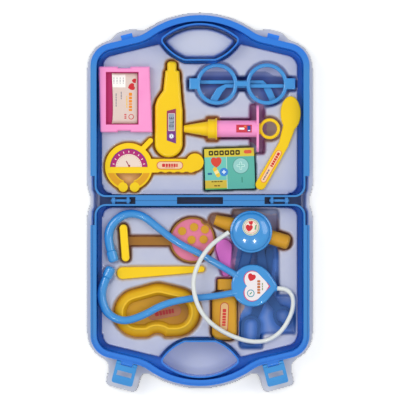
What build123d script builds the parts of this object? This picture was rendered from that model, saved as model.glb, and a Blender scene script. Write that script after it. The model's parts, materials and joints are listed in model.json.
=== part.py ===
"""Toy doctor case, lying open and flat with its toys in their trays.

Millimetres. +Z is up and +X is to the right. The origin is on the floor, in the middle of the hinge:
the lid lies towards +Y and the base towards -Y, both with their open side up.
"""
import os
from math import atan2, cos, degrees, pi, radians, sin, sqrt, tan

from build123d import *

os.makedirs("parts", exist_ok=True)


# ---------------------------------------------------------------- driving dimensions
# case halves
HALF_DEPTH = 32.0            # depth of one closed half, floor to parting plane
PARTING_GAP = 0.15           # each rim stops this far short of the parting plane
SEAT_GAP = 0.3               # between a loose piece and what it lies on
WALL = 2.0                   # moulded wall of the case
BODY_HALF_WIDTH = 116.0      # centre line to the side wall's outside
REAR_Y = 3.85                # hinge line to the rear wall's outside
SHOULDER_SLOPE = 13.6        # degrees, far edge beside the handle
RIDGE_Y = 192.6              # where both shoulder lines would meet
FAR_CORNER = 20.9
REAR_CORNER = 12.5
HANDLE_CENTRE_Y = 103.6      # the handle's arch is an arc about this point
HANDLE_R = 95.9
HANDLE_BLEND = 44.5          # hollow blend from shoulder to handle
UNDER_FILLET = 3.0           # rounding of the outside under edge
LIP = 4.5                    # rim flange, out from the wall
LIP_THICK = 2.6
LIP_START_Y = 27.0           # the flange leaves the hinge end bare
GROOVE_IN = 1.5              # decorative groove along the base flange
GROOVE_WIDE = 1.1
GROOVE_DEEP = 0.9

# hand hole, through the case behind the handle
HOLE_FLAT_Y = 155.7
HOLE_LOW_Y = 201.8           # centre and radius of the curve on the toys' side
HOLE_LOW_R = 49.0
HOLE_TOP_Y = 193.6           # crest and radius of the curve on the handle's side
HOLE_TOP_R = 62.7
HOLE_TIP_R = 4.0
HOLE_WALL = 1.6

# hinge
LEAF_FROM = 25.3             # each leaf's inner end, from the middle
LEAF_IN = 45.0               # its outer end, in from the side wall
LEAF_GAP = 0.15              # leaf edge to the hinge line
LEAF_DEEP = 5.5
PIN_R = 1.5
PIN_FIT = 0.05               # running clearance round the pin
KNUCKLE_R = 3.5
KNUCKLE_LID_IN = (38.4, 35.4)    # the lid's knuckles, in from the side wall
KNUCKLE_BASE_IN = (22.6, 19.2)   # the base's knuckles
PIN_OVERHANG = 1.2

# latches on the base, catches on the lid
LATCH_IN = 36.0              # latch's middle, in from the side wall
LATCH_TILT = 14.5            # degrees, along the shoulder
LATCH_WIDE = 23.6
LATCH_LONG = 23.0
LATCH_THICK = 2.0
LATCH_AXIS_OUT = 2.4         # pivot, out from the flange edge
LATCH_AXIS_DOWN = 3.0        # pivot, below the parting plane
LATCH_KNUCKLE_R = 2.1
LATCH_LUG_HALF = 6.5
LATCH_SIDE_GAP = 0.4
LATCH_CORNER = 2.5
LATCH_GRIP = (2.5, 0.7)      # finger lip: in from each side, height
LATCH_PIN_R = 0.9
LATCH_PIN_SHORT = 0.5        # the pin stops this far inside each side of the latch
SLOT_FROM = 8.6              # slot, measured from the pivot
SLOT_LONG = 5.4
SLOT_WIDE = 16.4
CATCH_WIDE = 13.0
CATCH_OUT = 5.5
CATCH_THICK = 2.8

# trays
TRAY_WALL = 1.0
TRAY_DEEP = 12.0             # plateau above the ledge it stands on
TRAY_SIDE_IN = 7.5           # tray's side, in from the side wall
TRAY_REAR_IN = 3.15
TRAY_RIDGE_IN = 7.7
TRAY_FAR_CORNER = 13.0
TRAY_REAR_CORNER = 10.0
TRAY_TO_HOLE = 3.3
LEDGE = 5.0                  # floor left under the tray's edge, inside the window
POCKET_GAP = 1.3             # round each toy

# clear display blister under the open case
SHEET = 0.8
BLISTER_MARGIN = 10.0        # out from the case wall
BLISTER_TO_CASE = 2.0
BLISTER_RIM_TALL = 14.0
BLISTER_WAIST = 10.0         # blend where the two halves meet
BLISTER_BAYS = (             # side, half width, out from the flange's edge, corner, blend
    (-1, 19.0, 33.0, 7.0, 9.0),     # round the base's latches
    (1, 12.0, 12.0, 4.0, 9.0),      # round the lid's catches
)
BAY_FLARE = (9.0, 2.0)       # each bay widens by this much, down to this far from the flange's edge
BAY_ROOT = 12.0              # how far each bay's plan reaches back into the outline
DOME_INSET = 2.2
DOME_TALL = 15.0
DOME_ROUND = 3.0

# labels
LABEL = 0.4

# ---------------------------------------------------------------- toys in the lid: driving dimensions
LIFT_ROOM = 1.0              # closer clearance, for toys with little room round their pocket

# name badge holder, lying on the plateau
BADGE_CORNERS = ((-111.8, 147.8), (-55.6, 147.8), (-52.8, 75.4), (-110.0, 75.4))
BADGE_THICK = 9.0
BADGE_BEVEL = 1.2
BADGE_CORNER = 1.5
BADGE_WINDOW = (-103.4, -68.2, 84.2, 141.4)
BADGE_WINDOW_DEEP = 5.0
BADGE_NOTCH = (14.0, 1.6)
CARD_GAP = 0.8               # card to window, three times as much on its shadowed side
CARD_THICK = 0.5

# thermometer
THERMO_THICK = 15.0
THERMO_EDGE = 3.2
THERMO_TIP = (-36.3, -25.9, 144.2, 154.0)            # sides, foot and top of the tip
THERMO_RIGHT = ((-22.8, 143.2), (-20.6, 112.0), (-19.3, 100.0))
THERMO_LEFT = ((-50.0, 104.0), (-47.6, 112.0), (-40.6, 122.0), (-38.4, 143.2))
THERMO_END = ((-19.3, 61.0), (-34.6, 47.9), (-50.0, 61.0))       # the round lower end
THERMO_TIP_ROUND = 3.6
THERMO_NECK_ROUND = 9.0
THERMO_LABEL = ((-36.6, 99.0), (-26.6, 101.5), (-26.6, 63.0), (-36.6, 66.5))
THERMO_SCREEN = (-34.4, -28.6, 78.0, 95.6)
THERMO_BUTTON = (-31.5, 71.0, 2.6)

# toy glasses, folded
LENS_Y = 128.7
LENS_X = (18.6, 74.0)
LENS_R = 23.0
LENS_HOLE_R = 18.6
FRAME_THICK = 5.0
FRAME_EDGE = 1.6
BRIDGE_WIDE = 6.2
EAR_Y = (122.9, 135.3)
EAR_THICK = 1.6
LEFT_BLOCK_X = (-12.0, 0.5)
RIGHT_BLOCK_X = (92.5, 105.5)
LEFT_PIVOT_X = -7.5
RIGHT_PIVOT_X = 101.0
TEMPLE_THICK = 4.0
TEMPLE_WIDE = 4.1
TEMPLE_EDGE = 0.8
TEMPLE_LAYER_GAP = 0.4
TEMPLE_FIT = 0.3
TEMPLE_PIN_R = 0.9
# each temple's hooked end: where it leaves the bar, then the place and width of its elbow and of its tip
LEFT_HOOK = (69.0, ((75.8, 122.0), 7.6), ((80.4, 112.2), 7.6))
RIGHT_HOOK = (28.0, ((21.4, 121.6), 7.8), ((15.6, 111.8), 8.2))

# syringe
SYRINGE_Y = 79.3
SYRINGE_TIP_X = -17.6
SYRINGE_TIP_R = 3.8
CONE_END_X = 8.8
CONE_END_R = 8.3
COLLAR_END_X = 18.7
COLLAR_R = 10.6
COLLAR_RIM_R = 12.0
COLLAR_RIM_LONG = 1.6
BARREL_END_X = 65.0
BARREL_R = 9.3
BARREL_WALL = 2.0
WING_HALF_LONG = 26.0
WING_HALF_HIGH = 8.5
WING_THICK = 2.6
PLUNGER_RING_X = 77.0
PLUNGER_RING_R = 11.6
PLUNGER_RING_HOLE_R = 8.0
PLUNGER_RING_THICK = 6.0
PLUNGER_ROD_R = 3.0
PLUNGER_STOP_R = 6.4
PLUNGER_STOP_IN = 4.0        # the stop starts this far inside the barrel's mouth
PLUNGER_STOP_OUT = 1.6       # and ends this far outside it
PLUNGER_EDGE = 1.3
SEAL_LONG = 5.0
SEAL_AHEAD = 1.0             # seal to the nozzle's end face
SEAL_FIT = 0.05
SYRINGE_LABEL_X = (40.0, 57.0)
SYRINGE_LABEL_ANGLE = 26.0
WING_POCKET = (9.0, 6.0)     # the wing's pocket, before and behind its face

# spatula, lying on the plateau
SPATULA_THICK = 3.0
SPATULA_EDGE = 0.7
SPATULA_BOWL = (100.2, 96.3, 11.2, 19.0)
SPATULA_NECK = (99.4, 84.0, 7.0)
SPATULA_HAND = (92.6, 62.5, 5.6)
SPATULA_END = (67.2, 17.6, 5.8)
SPATULA_LABEL = ((87.0, 52.5), (70.2, 23.0), 6.4)

# ring gauge with a half-round dial
GAUGE_CENTRE = (-78.7, 37.4)
GAUGE_R = 26.2
GAUGE_THICK = 10.0
GAUGE_UP = 3.0               # its pocket's floor, above the deepest ones
GAUGE_DIAL_R = 20.9
GAUGE_DIAL_DEEP = 1.4
GAUGE_BAR_LOW = -7.2         # under side of the cross bar, from the centre
GAUGE_BAR_HIGH = -0.6
GAUGE_HOLE_R = 16.5
GAUGE_BALL = (6.3, 14.8, 5.2)     # half spacing, Y place and radius of the ring's end knobs
GAUGE_MOUTH = 5.3                 # half the gap in the ring between them
GAUGE_PEG = ((-62.6, 58.0), (-54.8, 66.2), 5.6)
GAUGE_HANDLE_Y = (31.0, 46.0)
GAUGE_HANDLE_END = (-5.6, 42.4, 9.6)
GAUGE_SCALLOPS = 5
GAUGE_SCALLOP_R = 6.0
GAUGE_SCALLOP_DEEP = 1.0
GAUGE_LABEL = ((-43.4, 38.9), (-23.2, 38.9), 8.8)

# picture box
BOX_CENTRE = (32.8, 35.2)
BOX_SIZE = (55.0, 45.0)
BOX_THICK = 10.4
BOX_TURN = 1.8
BOX_CORNER = 0.6

# ---------------------------------------------------------------- toys in the base: driving dimensions
# stethoscope
TUBE_R = 4.4
HEADSET_UPPER = ((38.0, -81.4), (23.0, -72.5), (-1.0, -57.8), (-24.0, -47.6), (-49.5, -27.5), (-63.5, -16.0),
                 (-82.0, -13.4), (-97.8, -25.5), (-102.2, -41.5), (-98.4, -55.0))
HEADSET_LOWER = ((35.5, -102.1), (20.0, -105.4), (-12.0, -108.2), (-40.0, -114.0), (-62.0, -126.8), (-84.0, -134.2),
                 (-101.5, -126.5), (-108.6, -110.5), (-108.4, -96.0), (-103.4, -85.5))
EAR_TIP_R = 5.8
EAR_TIP_LONG = 13.5
EAR_TIP_ROUND = 3.5
PLATE = ((57.8, -94.0), (77.4, -94.6), 46.6, 15.0)
PLATE_THICK = 8.0
PLATE_EDGE = 2.5
SOCKET_DEEP = 5.0            # tube sockets, back from their mouths
CHEST = ((56.4, -34.4), (57.4, -18.6), 46.4, 12.4)
CHEST_THICK = 9.0
CHEST_STEP = 3.6             # height of the skirt
CHEST_STEP_IN = 2.4          # and how far it stands out
CHEST_EDGES = (1.2, 3.0)     # rounding of the skirt and of the top
CHEST_LABEL = (56.1, -29.2, 9.4)
DIAPHRAGM_R = 18.0
DIAPHRAGM_THICK = 1.0
HOSE_R = 2.5
HOSE_BOSS_R = 3.4
HOSE_ROUTE = (
    (32.0, -34.9, 25.2), (21.5, -41.5, 25.2), (9.5, -51.5, 31.8), (-0.5, -66.0, 31.8), (-7.0, -83.0, 30.4),
    (-7.3, -99.0, 31.8), (-2.2, -117.0, 31.8), (8.0, -132.0, 27.0), (22.0, -143.0, 22.8), (39.0, -151.5, 20.5),
    (58.0, -156.6, 18.3), (76.0, -155.0, 17.9), (91.0, -144.0, 18.2), (101.0, -126.0, 18.8),
    (103.4, -113.3, 19.4), (102.0, -104.4, 19.8), (96.6, -98.8, 19.8), (90.0, -97.0, 19.8), (85.1, -97.0, 19.8),
)
HEART_LOBES = ((57.4, -86.6), (57.4, -102.0), 18.6)
HEART_TIP = ((76.4, -94.6), 2.0)

# reflex hammer
HAMMER_LEFT = (16.5, -21.2)
HAMMER_RIGHT = (99.0, -47.0)
HAMMER_R = 8.0
HAMMER_NOSE_R = 5.6
HAMMER_TAPER = 0.2           # share of the head that narrows to the nose
HAMMER_GRIP = ((57.0, -40.0), (45.5, -84.0), 12.0)
HAMMER_GRIP_THICK = 5.2
HAMMER_GRIP_EDGE = 1.5

# tee handled disc with raised dots
TEE_DISC = (-8.5, -43.6, 25.0)
TEE_FLOOR = 8.1
TEE_DISC_THICK = 6.4
TEE_RIM = 1.8
TEE_DOTS = ((-19.8, -33.8), (-6.6, -29.4), (-9.4, -43.5), (3.9, -43.0), (-4.0, -57.5), (5.4, -32.0))
TEE_DOT_R = 4.6
TEE_DOT_TALL = 1.0
TEE_NOTCH = (6.5, -21.5, 4.0)
TEE_BAR = ((-84.6, -30.7), (-82.2, -62.9), 8.7)
TEE_BAR_THICK = 13.0
TEE_BAR_EDGE = 1.6
TEE_STEM_Y = -44.8
TEE_STEM_WIDE = 9.0
TEE_STEM_THICK = 5.0

# spoon, tongue depressor
SPOON = ((26.4, -52.0), (29.0, -79.6), 18.2, 8.6)
SPOON_FLOOR = 8.7
SPOON_THICK = 3.4
SPOON_EDGE = 1.2
DEPRESSOR = ((-85.4, -80.3), (2.0, -75.9), 13.2, 6.4)
DEPRESSOR_THICK = 2.7
DEPRESSOR_EDGE = 0.8

# kidney dish
DISH_CIRCLES = ((-68.6, -124.6, 26.6), (-46.0, -119.8, 28.0), (-26.6, -123.6, 27.2))
DISH_NOTCH = (-47.3, -158.6, 11.6)
DISH_NOTCH_BLEND = 9.0
DISH_WALL = 1.6
DISH_FOOT = 1.6              # upright edge under the skirt
DISH_SKIRT = 8.4             # skirt, from its foot in to the rim's ridge
DISH_SLOPE_RUN = 4.0         # the bowl's wall, from the rim in to its floor
DISH_RIDGE = 0.6             # half the thickness of the sheet where the skirt meets the bowl
DISH_LABEL = ((-52.0, -126.6), (-27.0, -121.8), 12.0)

# medicine bottle
BOTTLE_X = (13.2, 40.8)
BOTTLE_Y = (-154.4, -101.5)
BOTTLE_CORNER = 9.0
BOTTLE_EDGE = 4.2
CAP_X = (19.3, 39.4)
CAP_Y = (-98.6, -86.8)
CAP_SEAT = 1.5               # how far the neck stands in the cap
CAP_CORNER = 4.4
CAP_EDGE = 1.4
BOTTLE_NECK_R = 4.2
BOTTLE_LABEL = ((27.2, -117.4), (26.2, -141.0), 9.4)

# scissors
SCISSOR_PIVOT = (72.0, -100.0)
SCISSOR_TIP_A = (77.4, -56.0)
SCISSOR_TIP_B = (67.4, -56.0)
SCISSOR_LOOP_A = ((56.4, -138.0), (55.8, -149.6))    # middles of its two round ends
SCISSOR_LOOP_B = ((91.8, -127.6), (92.6, -129.6))
SCISSOR_LOOP_WIDE = 21.4
SCISSOR_LOOP_WALL = 3.2
SCISSOR_ARM_WIDE = 8.0
SCISSOR_BLADE_WIDE = 11.0
SCISSOR_TIP_WIDE = 8.4
SCISSOR_THICK = 2.5
SCISSOR_LOOP_THICK = 4.5
SCISSOR_PIN_R = 1.6
SCISSOR_HEAD_R = 3.4
SCISSOR_HEAD_THICK = 1.2

# shared pocket of hammer and scissors, with the raised patch left inside it
TOOL_POCKET = ((36.0, 86.0, -110.0, -9.5), (43.9, 105.5, -163.5, -105.0))
TOOL_PATCH = (68.5, 107.5, -168.0, -147.0)
POCKET_CORNER = 4.0

# worked out from the above
AXIS_Z = HALF_DEPTH
RIM_Z = HALF_DEPTH - PARTING_GAP
CASE_Z = SHEET + SEAT_GAP
FLOOR_TOP = CASE_Z + WALL
LEAF_X = (LEAF_FROM, BODY_HALF_WIDTH - LEAF_IN)
KNUCKLE_LID_X = tuple(BODY_HALF_WIDTH - inset for inset in KNUCKLE_LID_IN)
KNUCKLE_BASE_X = tuple(BODY_HALF_WIDTH - inset for inset in KNUCKLE_BASE_IN)
LATCH_X = BODY_HALF_WIDTH - LATCH_IN
LATCH_Y = RIDGE_Y + LIP / cos(radians(SHOULDER_SLOPE)) - LATCH_X * tan(radians(SHOULDER_SLOPE))
TRAY_HALF_WIDTH = BODY_HALF_WIDTH - TRAY_SIDE_IN
TRAY_REAR_Y = REAR_Y + TRAY_REAR_IN
TRAY_RIDGE_Y = RIDGE_Y - TRAY_RIDGE_IN
PLATEAU = FLOOR_TOP + TRAY_DEEP
DEEP_FLOOR = FLOOR_TOP + TRAY_WALL      # deepest pocket floor
ON_PLATEAU = PLATEAU + SEAT_GAP


# ---------------------------------------------------------------- helpers
def keep(piece, name):
    """Labels a finished piece and writes it."""
    piece.part.label = name
    export_step(piece.part, f"parts/{name}.step")


def half_plan(half_width, rear, ridge, far_corner, rear_corner):
    """Plan of one half without its handle, on the +Y side."""
    shoulder = ridge - half_width * tan(radians(SHOULDER_SLOPE))
    with BuildSketch(mode=Mode.PRIVATE) as plan:
        with BuildLine():
            Polyline((-half_width, rear), (half_width, rear), (half_width, shoulder),
                     (0, ridge), (-half_width, shoulder), close=True)
        make_face()
        fillet(plan.vertices().group_by(Axis.Y)[1], far_corner)
        fillet(plan.vertices().group_by(Axis.Y)[0], rear_corner)
    return plan.sketch


def case_plan(grow):
    """Plan of one half with its handle's arch, grown from the wall's outside."""
    tub = half_plan(BODY_HALF_WIDTH + grow, REAR_Y - grow,
                    RIDGE_Y + grow / cos(radians(SHOULDER_SLOPE)), FAR_CORNER + grow, REAR_CORNER + grow)
    with BuildSketch(mode=Mode.PRIVATE) as plan:
        add(tub)
        with Locations((0, HANDLE_CENTRE_Y)):
            Circle(HANDLE_R + grow)
        fillet(plan.vertices().sort_by(Axis.Y)[-2:], HANDLE_BLEND - grow)
    return plan.sketch


def hole_plan(grow):
    """Plan of the hand hole: an eye with a flat near side."""
    with BuildSketch(mode=Mode.PRIVATE) as plan:
        with Locations((0, HOLE_LOW_Y)):
            Circle(HOLE_LOW_R + grow)
        with Locations((0, HOLE_TOP_Y - HOLE_TOP_R)):
            Circle(HOLE_TOP_R + grow, mode=Mode.INTERSECT)
        with Locations((0, HOLE_FLAT_Y - grow)):
            Rectangle(4 * HOLE_TOP_R, 4 * HOLE_TOP_R, align=(Align.CENTER, Align.MIN), mode=Mode.INTERSECT)
        fillet(plan.vertices(), HOLE_TIP_R + grow)
    return plan.sketch


def tray_plan(shrink):
    """Plan of a tray: the inside of one half, cut back round the hand hole."""
    outline = half_plan(TRAY_HALF_WIDTH - shrink, TRAY_REAR_Y + shrink,
                        TRAY_RIDGE_Y - shrink / cos(radians(SHOULDER_SLOPE)),
                        TRAY_FAR_CORNER - shrink, TRAY_REAR_CORNER - shrink)
    with BuildSketch(mode=Mode.PRIVATE) as plan:
        add(outline)
        add(hole_plan(TRAY_TO_HOLE + shrink), mode=Mode.SUBTRACT)
    return plan.sketch


def upright(plan, bottom, top):
    """A plain upright solid over a plan."""
    with BuildPart(mode=Mode.PRIVATE) as block:
        with BuildSketch(Plane.XY.offset(bottom)):
            add(plan)
        extrude(amount=top - bottom)
    return block.part


def bar_plan(start, end, wide):
    """Plan of a round-ended bar between two points."""
    return oval_plan(start, end, wide, wide)


def oval_plan(start, end, wide, end_wide):
    """Plan of a round-ended bar whose ends may differ in width."""
    run = Vector(*end) - Vector(*start)
    turn = degrees(atan2(run.Y, run.X))
    with BuildSketch(Plane(origin=(*start, 0), x_dir=(run.X, run.Y, 0)), mode=Mode.PRIVATE) as plan:
        Circle(wide / 2)
        with Locations((run.length, 0)):
            Circle(end_wide / 2)
        make_hull()
    return plan.sketch


def corner_radii(points):
    """One radius for each bend of a route: 0.45 of its shorter run over the tangent of half its turn."""
    radii = []
    for before, corner, after in zip(points, points[1:], points[2:]):
        arriving = Vector(*corner) - Vector(*before)
        leaving = Vector(*after) - Vector(*corner)
        half_turn = radians(arriving.get_angle(leaving)) / 2
        radii.append(0.45 * min(arriving.length, leaving.length) / tan(half_turn))
    return radii


def tube(points, radius):
    """A round tube along straight runs joined by tangent arcs."""
    with BuildLine(mode=Mode.PRIVATE) as route:
        FilletPolyline(*points, radius=corner_radii(points))
    path = route.wire()
    with BuildPart(mode=Mode.PRIVATE) as piece:
        with BuildSketch(Plane(origin=path @ 0, z_dir=path % 0)):
            Circle(radius)
        sweep(path=path)
    return piece.part, path.length


# ---------------------------------------------------------------- case halves
def tub():
    """What the lid and the base share, on the +Y side."""
    outline = case_plan(0)
    inside = case_plan(-WALL)
    with BuildPart(mode=Mode.PRIVATE) as hollow:
        with BuildSketch(Plane.XY.offset(FLOOR_TOP)):
            add(inside)
        extrude(amount=RIM_Z - FLOOR_TOP)
        fillet(hollow.faces().sort_by(Axis.Z)[0].edges(), UNDER_FILLET - WALL)
    with BuildPart(mode=Mode.PRIVATE) as piece:
        with BuildSketch(Plane.XY.offset(CASE_Z)):
            add(outline)
        extrude(amount=RIM_Z - CASE_Z)
        fillet(piece.faces().sort_by(Axis.Z)[0].edges(), UNDER_FILLET)
        add(hollow.part, mode=Mode.SUBTRACT)
        # flange round the rim, bare beside the hinge
        with BuildSketch(Plane.XY.offset(RIM_Z - LIP_THICK)):
            add(case_plan(LIP))
            add(inside, mode=Mode.SUBTRACT)
            with Locations((0, LIP_START_Y)):
                Rectangle(4 * BODY_HALF_WIDTH, 2 * LIP_START_Y, align=(Align.CENTER, Align.MAX), mode=Mode.SUBTRACT)
        extrude(amount=LIP_THICK)
        # wall round the hand hole
        add(upright(hole_plan(HOLE_WALL), CASE_Z, RIM_Z))
        add(upright(hole_plan(0), CASE_Z - WALL, RIM_Z + WALL), mode=Mode.SUBTRACT)
        # window that the tray closes
        add(upright(tray_plan(LEDGE), CASE_Z - WALL, FLOOR_TOP + WALL), mode=Mode.SUBTRACT)
        # hinge leaves
        for side in (-1, 1):
            with Locations((side * sum(LEAF_X) / 2, LEAF_GAP, RIM_Z)):
                Box(LEAF_X[1] - LEAF_X[0], REAR_Y - LEAF_GAP, LEAF_DEEP,
                    align=(Align.CENTER, Align.MIN, Align.MAX))
    return piece.part


def knuckles(spans, side):
    """Hinge knuckles with their webs, on both ends of the hinge; side is +1 for the lid."""
    with BuildPart(mode=Mode.PRIVATE) as piece:
        for end in (-1, 1):
            middle, long = end * sum(spans) / 2, spans[1] - spans[0]
            with BuildSketch(Plane(origin=(middle, 0, AXIS_Z), z_dir=(1, 0, 0))) as ring:
                Circle(KNUCKLE_R)
            extrude(amount=long / 2, both=True)
            with Locations((middle, side * LEAF_GAP, RIM_Z)):
                Box(long, REAR_Y - LEAF_GAP, KNUCKLE_R,
                    align=(Align.CENTER, Align.MIN if side > 0 else Align.MAX, Align.MAX))
            with BuildSketch(Plane(origin=(middle, 0, AXIS_Z), z_dir=(1, 0, 0))):
                Circle(PIN_R + PIN_FIT)
            extrude(amount=long, both=True, mode=Mode.SUBTRACT)
    return piece.part


def edge_plane(side_x, side_y, out, z):
    """Plane at a latch place on the far edge: X along the edge, Y out of the case, Z up."""
    turn = radians(-side_x * LATCH_TILT)
    along = (cos(turn), side_y * sin(turn), 0)
    outward = Vector(-side_y * sin(turn) * side_y, side_y * cos(turn), 0)
    place = Vector(side_x * LATCH_X, side_y * LATCH_Y, z) + outward * out
    if side_y < 0:
        along = (-along[0], -along[1], 0)
    return Plane(origin=place, x_dir=along, z_dir=(0, 0, 1))


shared_tub = tub()

with BuildPart() as lid_shell:
    add(shared_tub)
    for side in (-1, 1):
        catch_z = AXIS_Z + LATCH_AXIS_DOWN - SLOT_FROM - SLOT_LONG / 2
        with BuildSketch(edge_plane(side, 1, CATCH_OUT, catch_z - CATCH_THICK / 2)) as catch:
            Rectangle(CATCH_WIDE, CATCH_OUT + LIP + WALL / 2, align=(Align.CENTER, Align.MAX))
        extrude(amount=CATCH_THICK)
    add(knuckles(KNUCKLE_LID_X, 1))
keep(lid_shell, "lid_shell")

with BuildSketch() as groove_plan:
    add(case_plan(LIP - GROOVE_IN))
    add(case_plan(LIP - GROOVE_IN - GROOVE_WIDE), mode=Mode.SUBTRACT)
    with Locations((0, LIP_START_Y)):
        Rectangle(4 * BODY_HALF_WIDTH, 2 * LIP_START_Y, align=(Align.CENTER, Align.MAX), mode=Mode.SUBTRACT)
groove = mirror(upright(groove_plan.sketch, RIM_Z - GROOVE_DEEP, RIM_Z + WALL), about=Plane.XZ)
base_tub = mirror(shared_tub, about=Plane.XZ)

with BuildPart() as base_shell:
    add(base_tub)
    add(groove, mode=Mode.SUBTRACT)
    # one lug in the middle of each latch
    for side in (-1, 1):
        lug = edge_plane(side, -1, LATCH_AXIS_OUT, AXIS_Z - LATCH_AXIS_DOWN)
        across = Plane(origin=lug.origin, x_dir=lug.y_dir, z_dir=lug.x_dir)
        with BuildSketch(across):
            Circle(LATCH_KNUCKLE_R)
        extrude(amount=LATCH_LUG_HALF, both=True)
        with BuildSketch(lug.offset(-LATCH_KNUCKLE_R)):
            Rectangle(2 * LATCH_LUG_HALF, LATCH_AXIS_OUT + LIP, align=(Align.CENTER, Align.MAX))
        extrude(amount=2 * LATCH_KNUCKLE_R)
        with BuildSketch(across):
            Circle(LATCH_PIN_R + PIN_FIT)
        extrude(amount=2 * LATCH_LUG_HALF, both=True, mode=Mode.SUBTRACT)
    add(knuckles(KNUCKLE_BASE_X, -1))
keep(base_shell, "base_shell")

for side, name in ((-1, "left"), (1, "right")):
    with BuildPart() as hinge_pin:
        pin_from, pin_to = KNUCKLE_LID_X[0] - PIN_OVERHANG, KNUCKLE_BASE_X[1] + PIN_OVERHANG
        with BuildSketch(Plane(origin=(side * pin_from, 0, AXIS_Z), z_dir=(side, 0, 0))):
            Circle(PIN_R)
        extrude(amount=pin_to - pin_from)
    keep(hinge_pin, f"hinge_pin_{name}")

    frame = edge_plane(side, -1, LATCH_AXIS_OUT, AXIS_Z - LATCH_AXIS_DOWN)
    across = Plane(origin=frame.origin, x_dir=frame.y_dir, z_dir=frame.x_dir)
    with BuildPart() as latch:
        with BuildSketch(frame.offset(-LATCH_THICK / 2)):
            Rectangle(LATCH_WIDE, LATCH_LONG, align=(Align.CENTER, Align.MIN))
        extrude(amount=LATCH_THICK)
        fillet(latch.edges().filter_by(Axis.Z).sort_by(Axis(frame.origin, frame.y_dir))[-2:], LATCH_CORNER)
        with BuildSketch(across):
            Circle(LATCH_KNUCKLE_R)
        extrude(amount=LATCH_WIDE / 2, both=True)
        # room for the base's lug
        with BuildSketch(across):
            Circle(LATCH_KNUCKLE_R + LATCH_SIDE_GAP)
        extrude(amount=LATCH_LUG_HALF + LATCH_SIDE_GAP, both=True, mode=Mode.SUBTRACT)
        with BuildSketch(across):
            Circle(LATCH_PIN_R + PIN_FIT)
        extrude(amount=LATCH_WIDE, both=True, mode=Mode.SUBTRACT)
        # window that drops over the catch
        with BuildSketch(frame.offset(-LATCH_THICK)):
            with Locations((0, SLOT_FROM)):
                Rectangle(SLOT_WIDE, SLOT_LONG, align=(Align.CENTER, Align.MIN))
        extrude(amount=2 * LATCH_THICK, mode=Mode.SUBTRACT)
        # finger lip along the free end
        with BuildSketch(frame.offset(LATCH_THICK / 2)):
            with Locations((0, LATCH_LONG - LATCH_THICK)):
                Rectangle(LATCH_WIDE - 2 * LATCH_GRIP[0], LATCH_THICK, align=(Align.CENTER, Align.MAX))
        extrude(amount=LATCH_GRIP[1])
    keep(latch, f"latch_{name}")

    with BuildPart() as latch_pin:
        with BuildSketch(across):
            Circle(LATCH_PIN_R)
        extrude(amount=LATCH_WIDE / 2 - LATCH_PIN_SHORT, both=True)
    keep(latch_pin, f"latch_pin_{name}")

# ---------------------------------------------------------------- display blister
def both_halves(grow, bridge):
    """Plan of both open halves, grown from the case wall, with the waist between them bridged."""
    half = case_plan(grow)
    with BuildSketch(mode=Mode.PRIVATE) as plan:
        add(half)
        add(mirror(half, about=Plane.XZ))
        Rectangle(2 * bridge, 4 * REAR_CORNER)
    return plan.sketch


def bay_plan(side_x, side_y, half_wide, out, corner, blend, shrink):
    """Plan of the blister's bay at one latch or catch, flared at 45 degrees into the outline."""
    flare, foot = BAY_FLARE
    half_wide, wider = half_wide - shrink, half_wide + flare - shrink * sqrt(2)
    throat = foot + flare - shrink * (sqrt(2) - 1)
    right = [(wider, -BAY_ROOT), (wider, foot), (half_wide, throat), (half_wide, out - shrink)]
    with BuildSketch(edge_plane(side_x, side_y, 0, 0), mode=Mode.PRIVATE) as plan:
        with BuildLine():
            Polyline(*right, *[(-x, y) for x, y in reversed(right)], close=True)
        make_face()
        for y, radius in ((throat, blend + shrink), (out - shrink, corner - shrink)):
            place = edge_plane(side_x, side_y, y, 0).origin
            fillet([point for point in plan.vertices()
                    if abs((point.center() - place).length - half_wide) < PIN_FIT], radius)
    return plan.sketch


def blister_plan(shrink):
    """The blister's outline: a soft waist at the hinge and a bay round each latch and catch."""
    outline = both_halves(BLISTER_MARGIN - shrink, BODY_HALF_WIDTH)
    bays = [bay_plan(side_x, side_y, *sizes, shrink) for side_y, *sizes in BLISTER_BAYS for side_x in (-1, 1)]
    with BuildSketch(mode=Mode.PRIVATE) as plan:
        add(outline)
        fillet(plan.vertices().sort_by(lambda corner: abs(corner.Y))[:2], BLISTER_WAIST + shrink)
        for bay in bays:
            add(bay)
    return plan.sketch


blister_well = both_halves(BLISTER_TO_CASE, BODY_HALF_WIDTH)
with BuildPart() as display_blister:
    with BuildSketch(Plane.XY):
        add(blister_plan(0))
    extrude(amount=SHEET)
    with BuildSketch(Plane.XY):
        add(blister_plan(0))
        add(blister_well, mode=Mode.SUBTRACT)
    extrude(amount=BLISTER_RIM_TALL)
    # the rim is hollow from below
    with BuildSketch(Plane.XY):
        add(blister_plan(SHEET))
        add(both_halves(BLISTER_TO_CASE + SHEET, BODY_HALF_WIDTH + SHEET), mode=Mode.SUBTRACT)
    extrude(amount=BLISTER_RIM_TALL - SHEET, mode=Mode.SUBTRACT)
    # a hollow dome stands in each hand hole
    domes = [(DOME_INSET, DOME_TALL, DOME_ROUND, Mode.ADD),
             (DOME_INSET + SHEET, DOME_TALL - SHEET, DOME_ROUND - SHEET, Mode.SUBTRACT)]
    for inset, tall, rounding, mode in domes:
        for turn in (0, 180):
            with BuildPart(Plane.XY.rotated((0, 0, turn)), mode=Mode.PRIVATE) as dome:
                with BuildSketch():
                    add(hole_plan(-inset))
                extrude(amount=tall)
                fillet(dome.faces().sort_by(Axis.Z)[-1].edges(), rounding)
            add(dome.part, mode=mode)
keep(display_blister, "display_blister")


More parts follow.
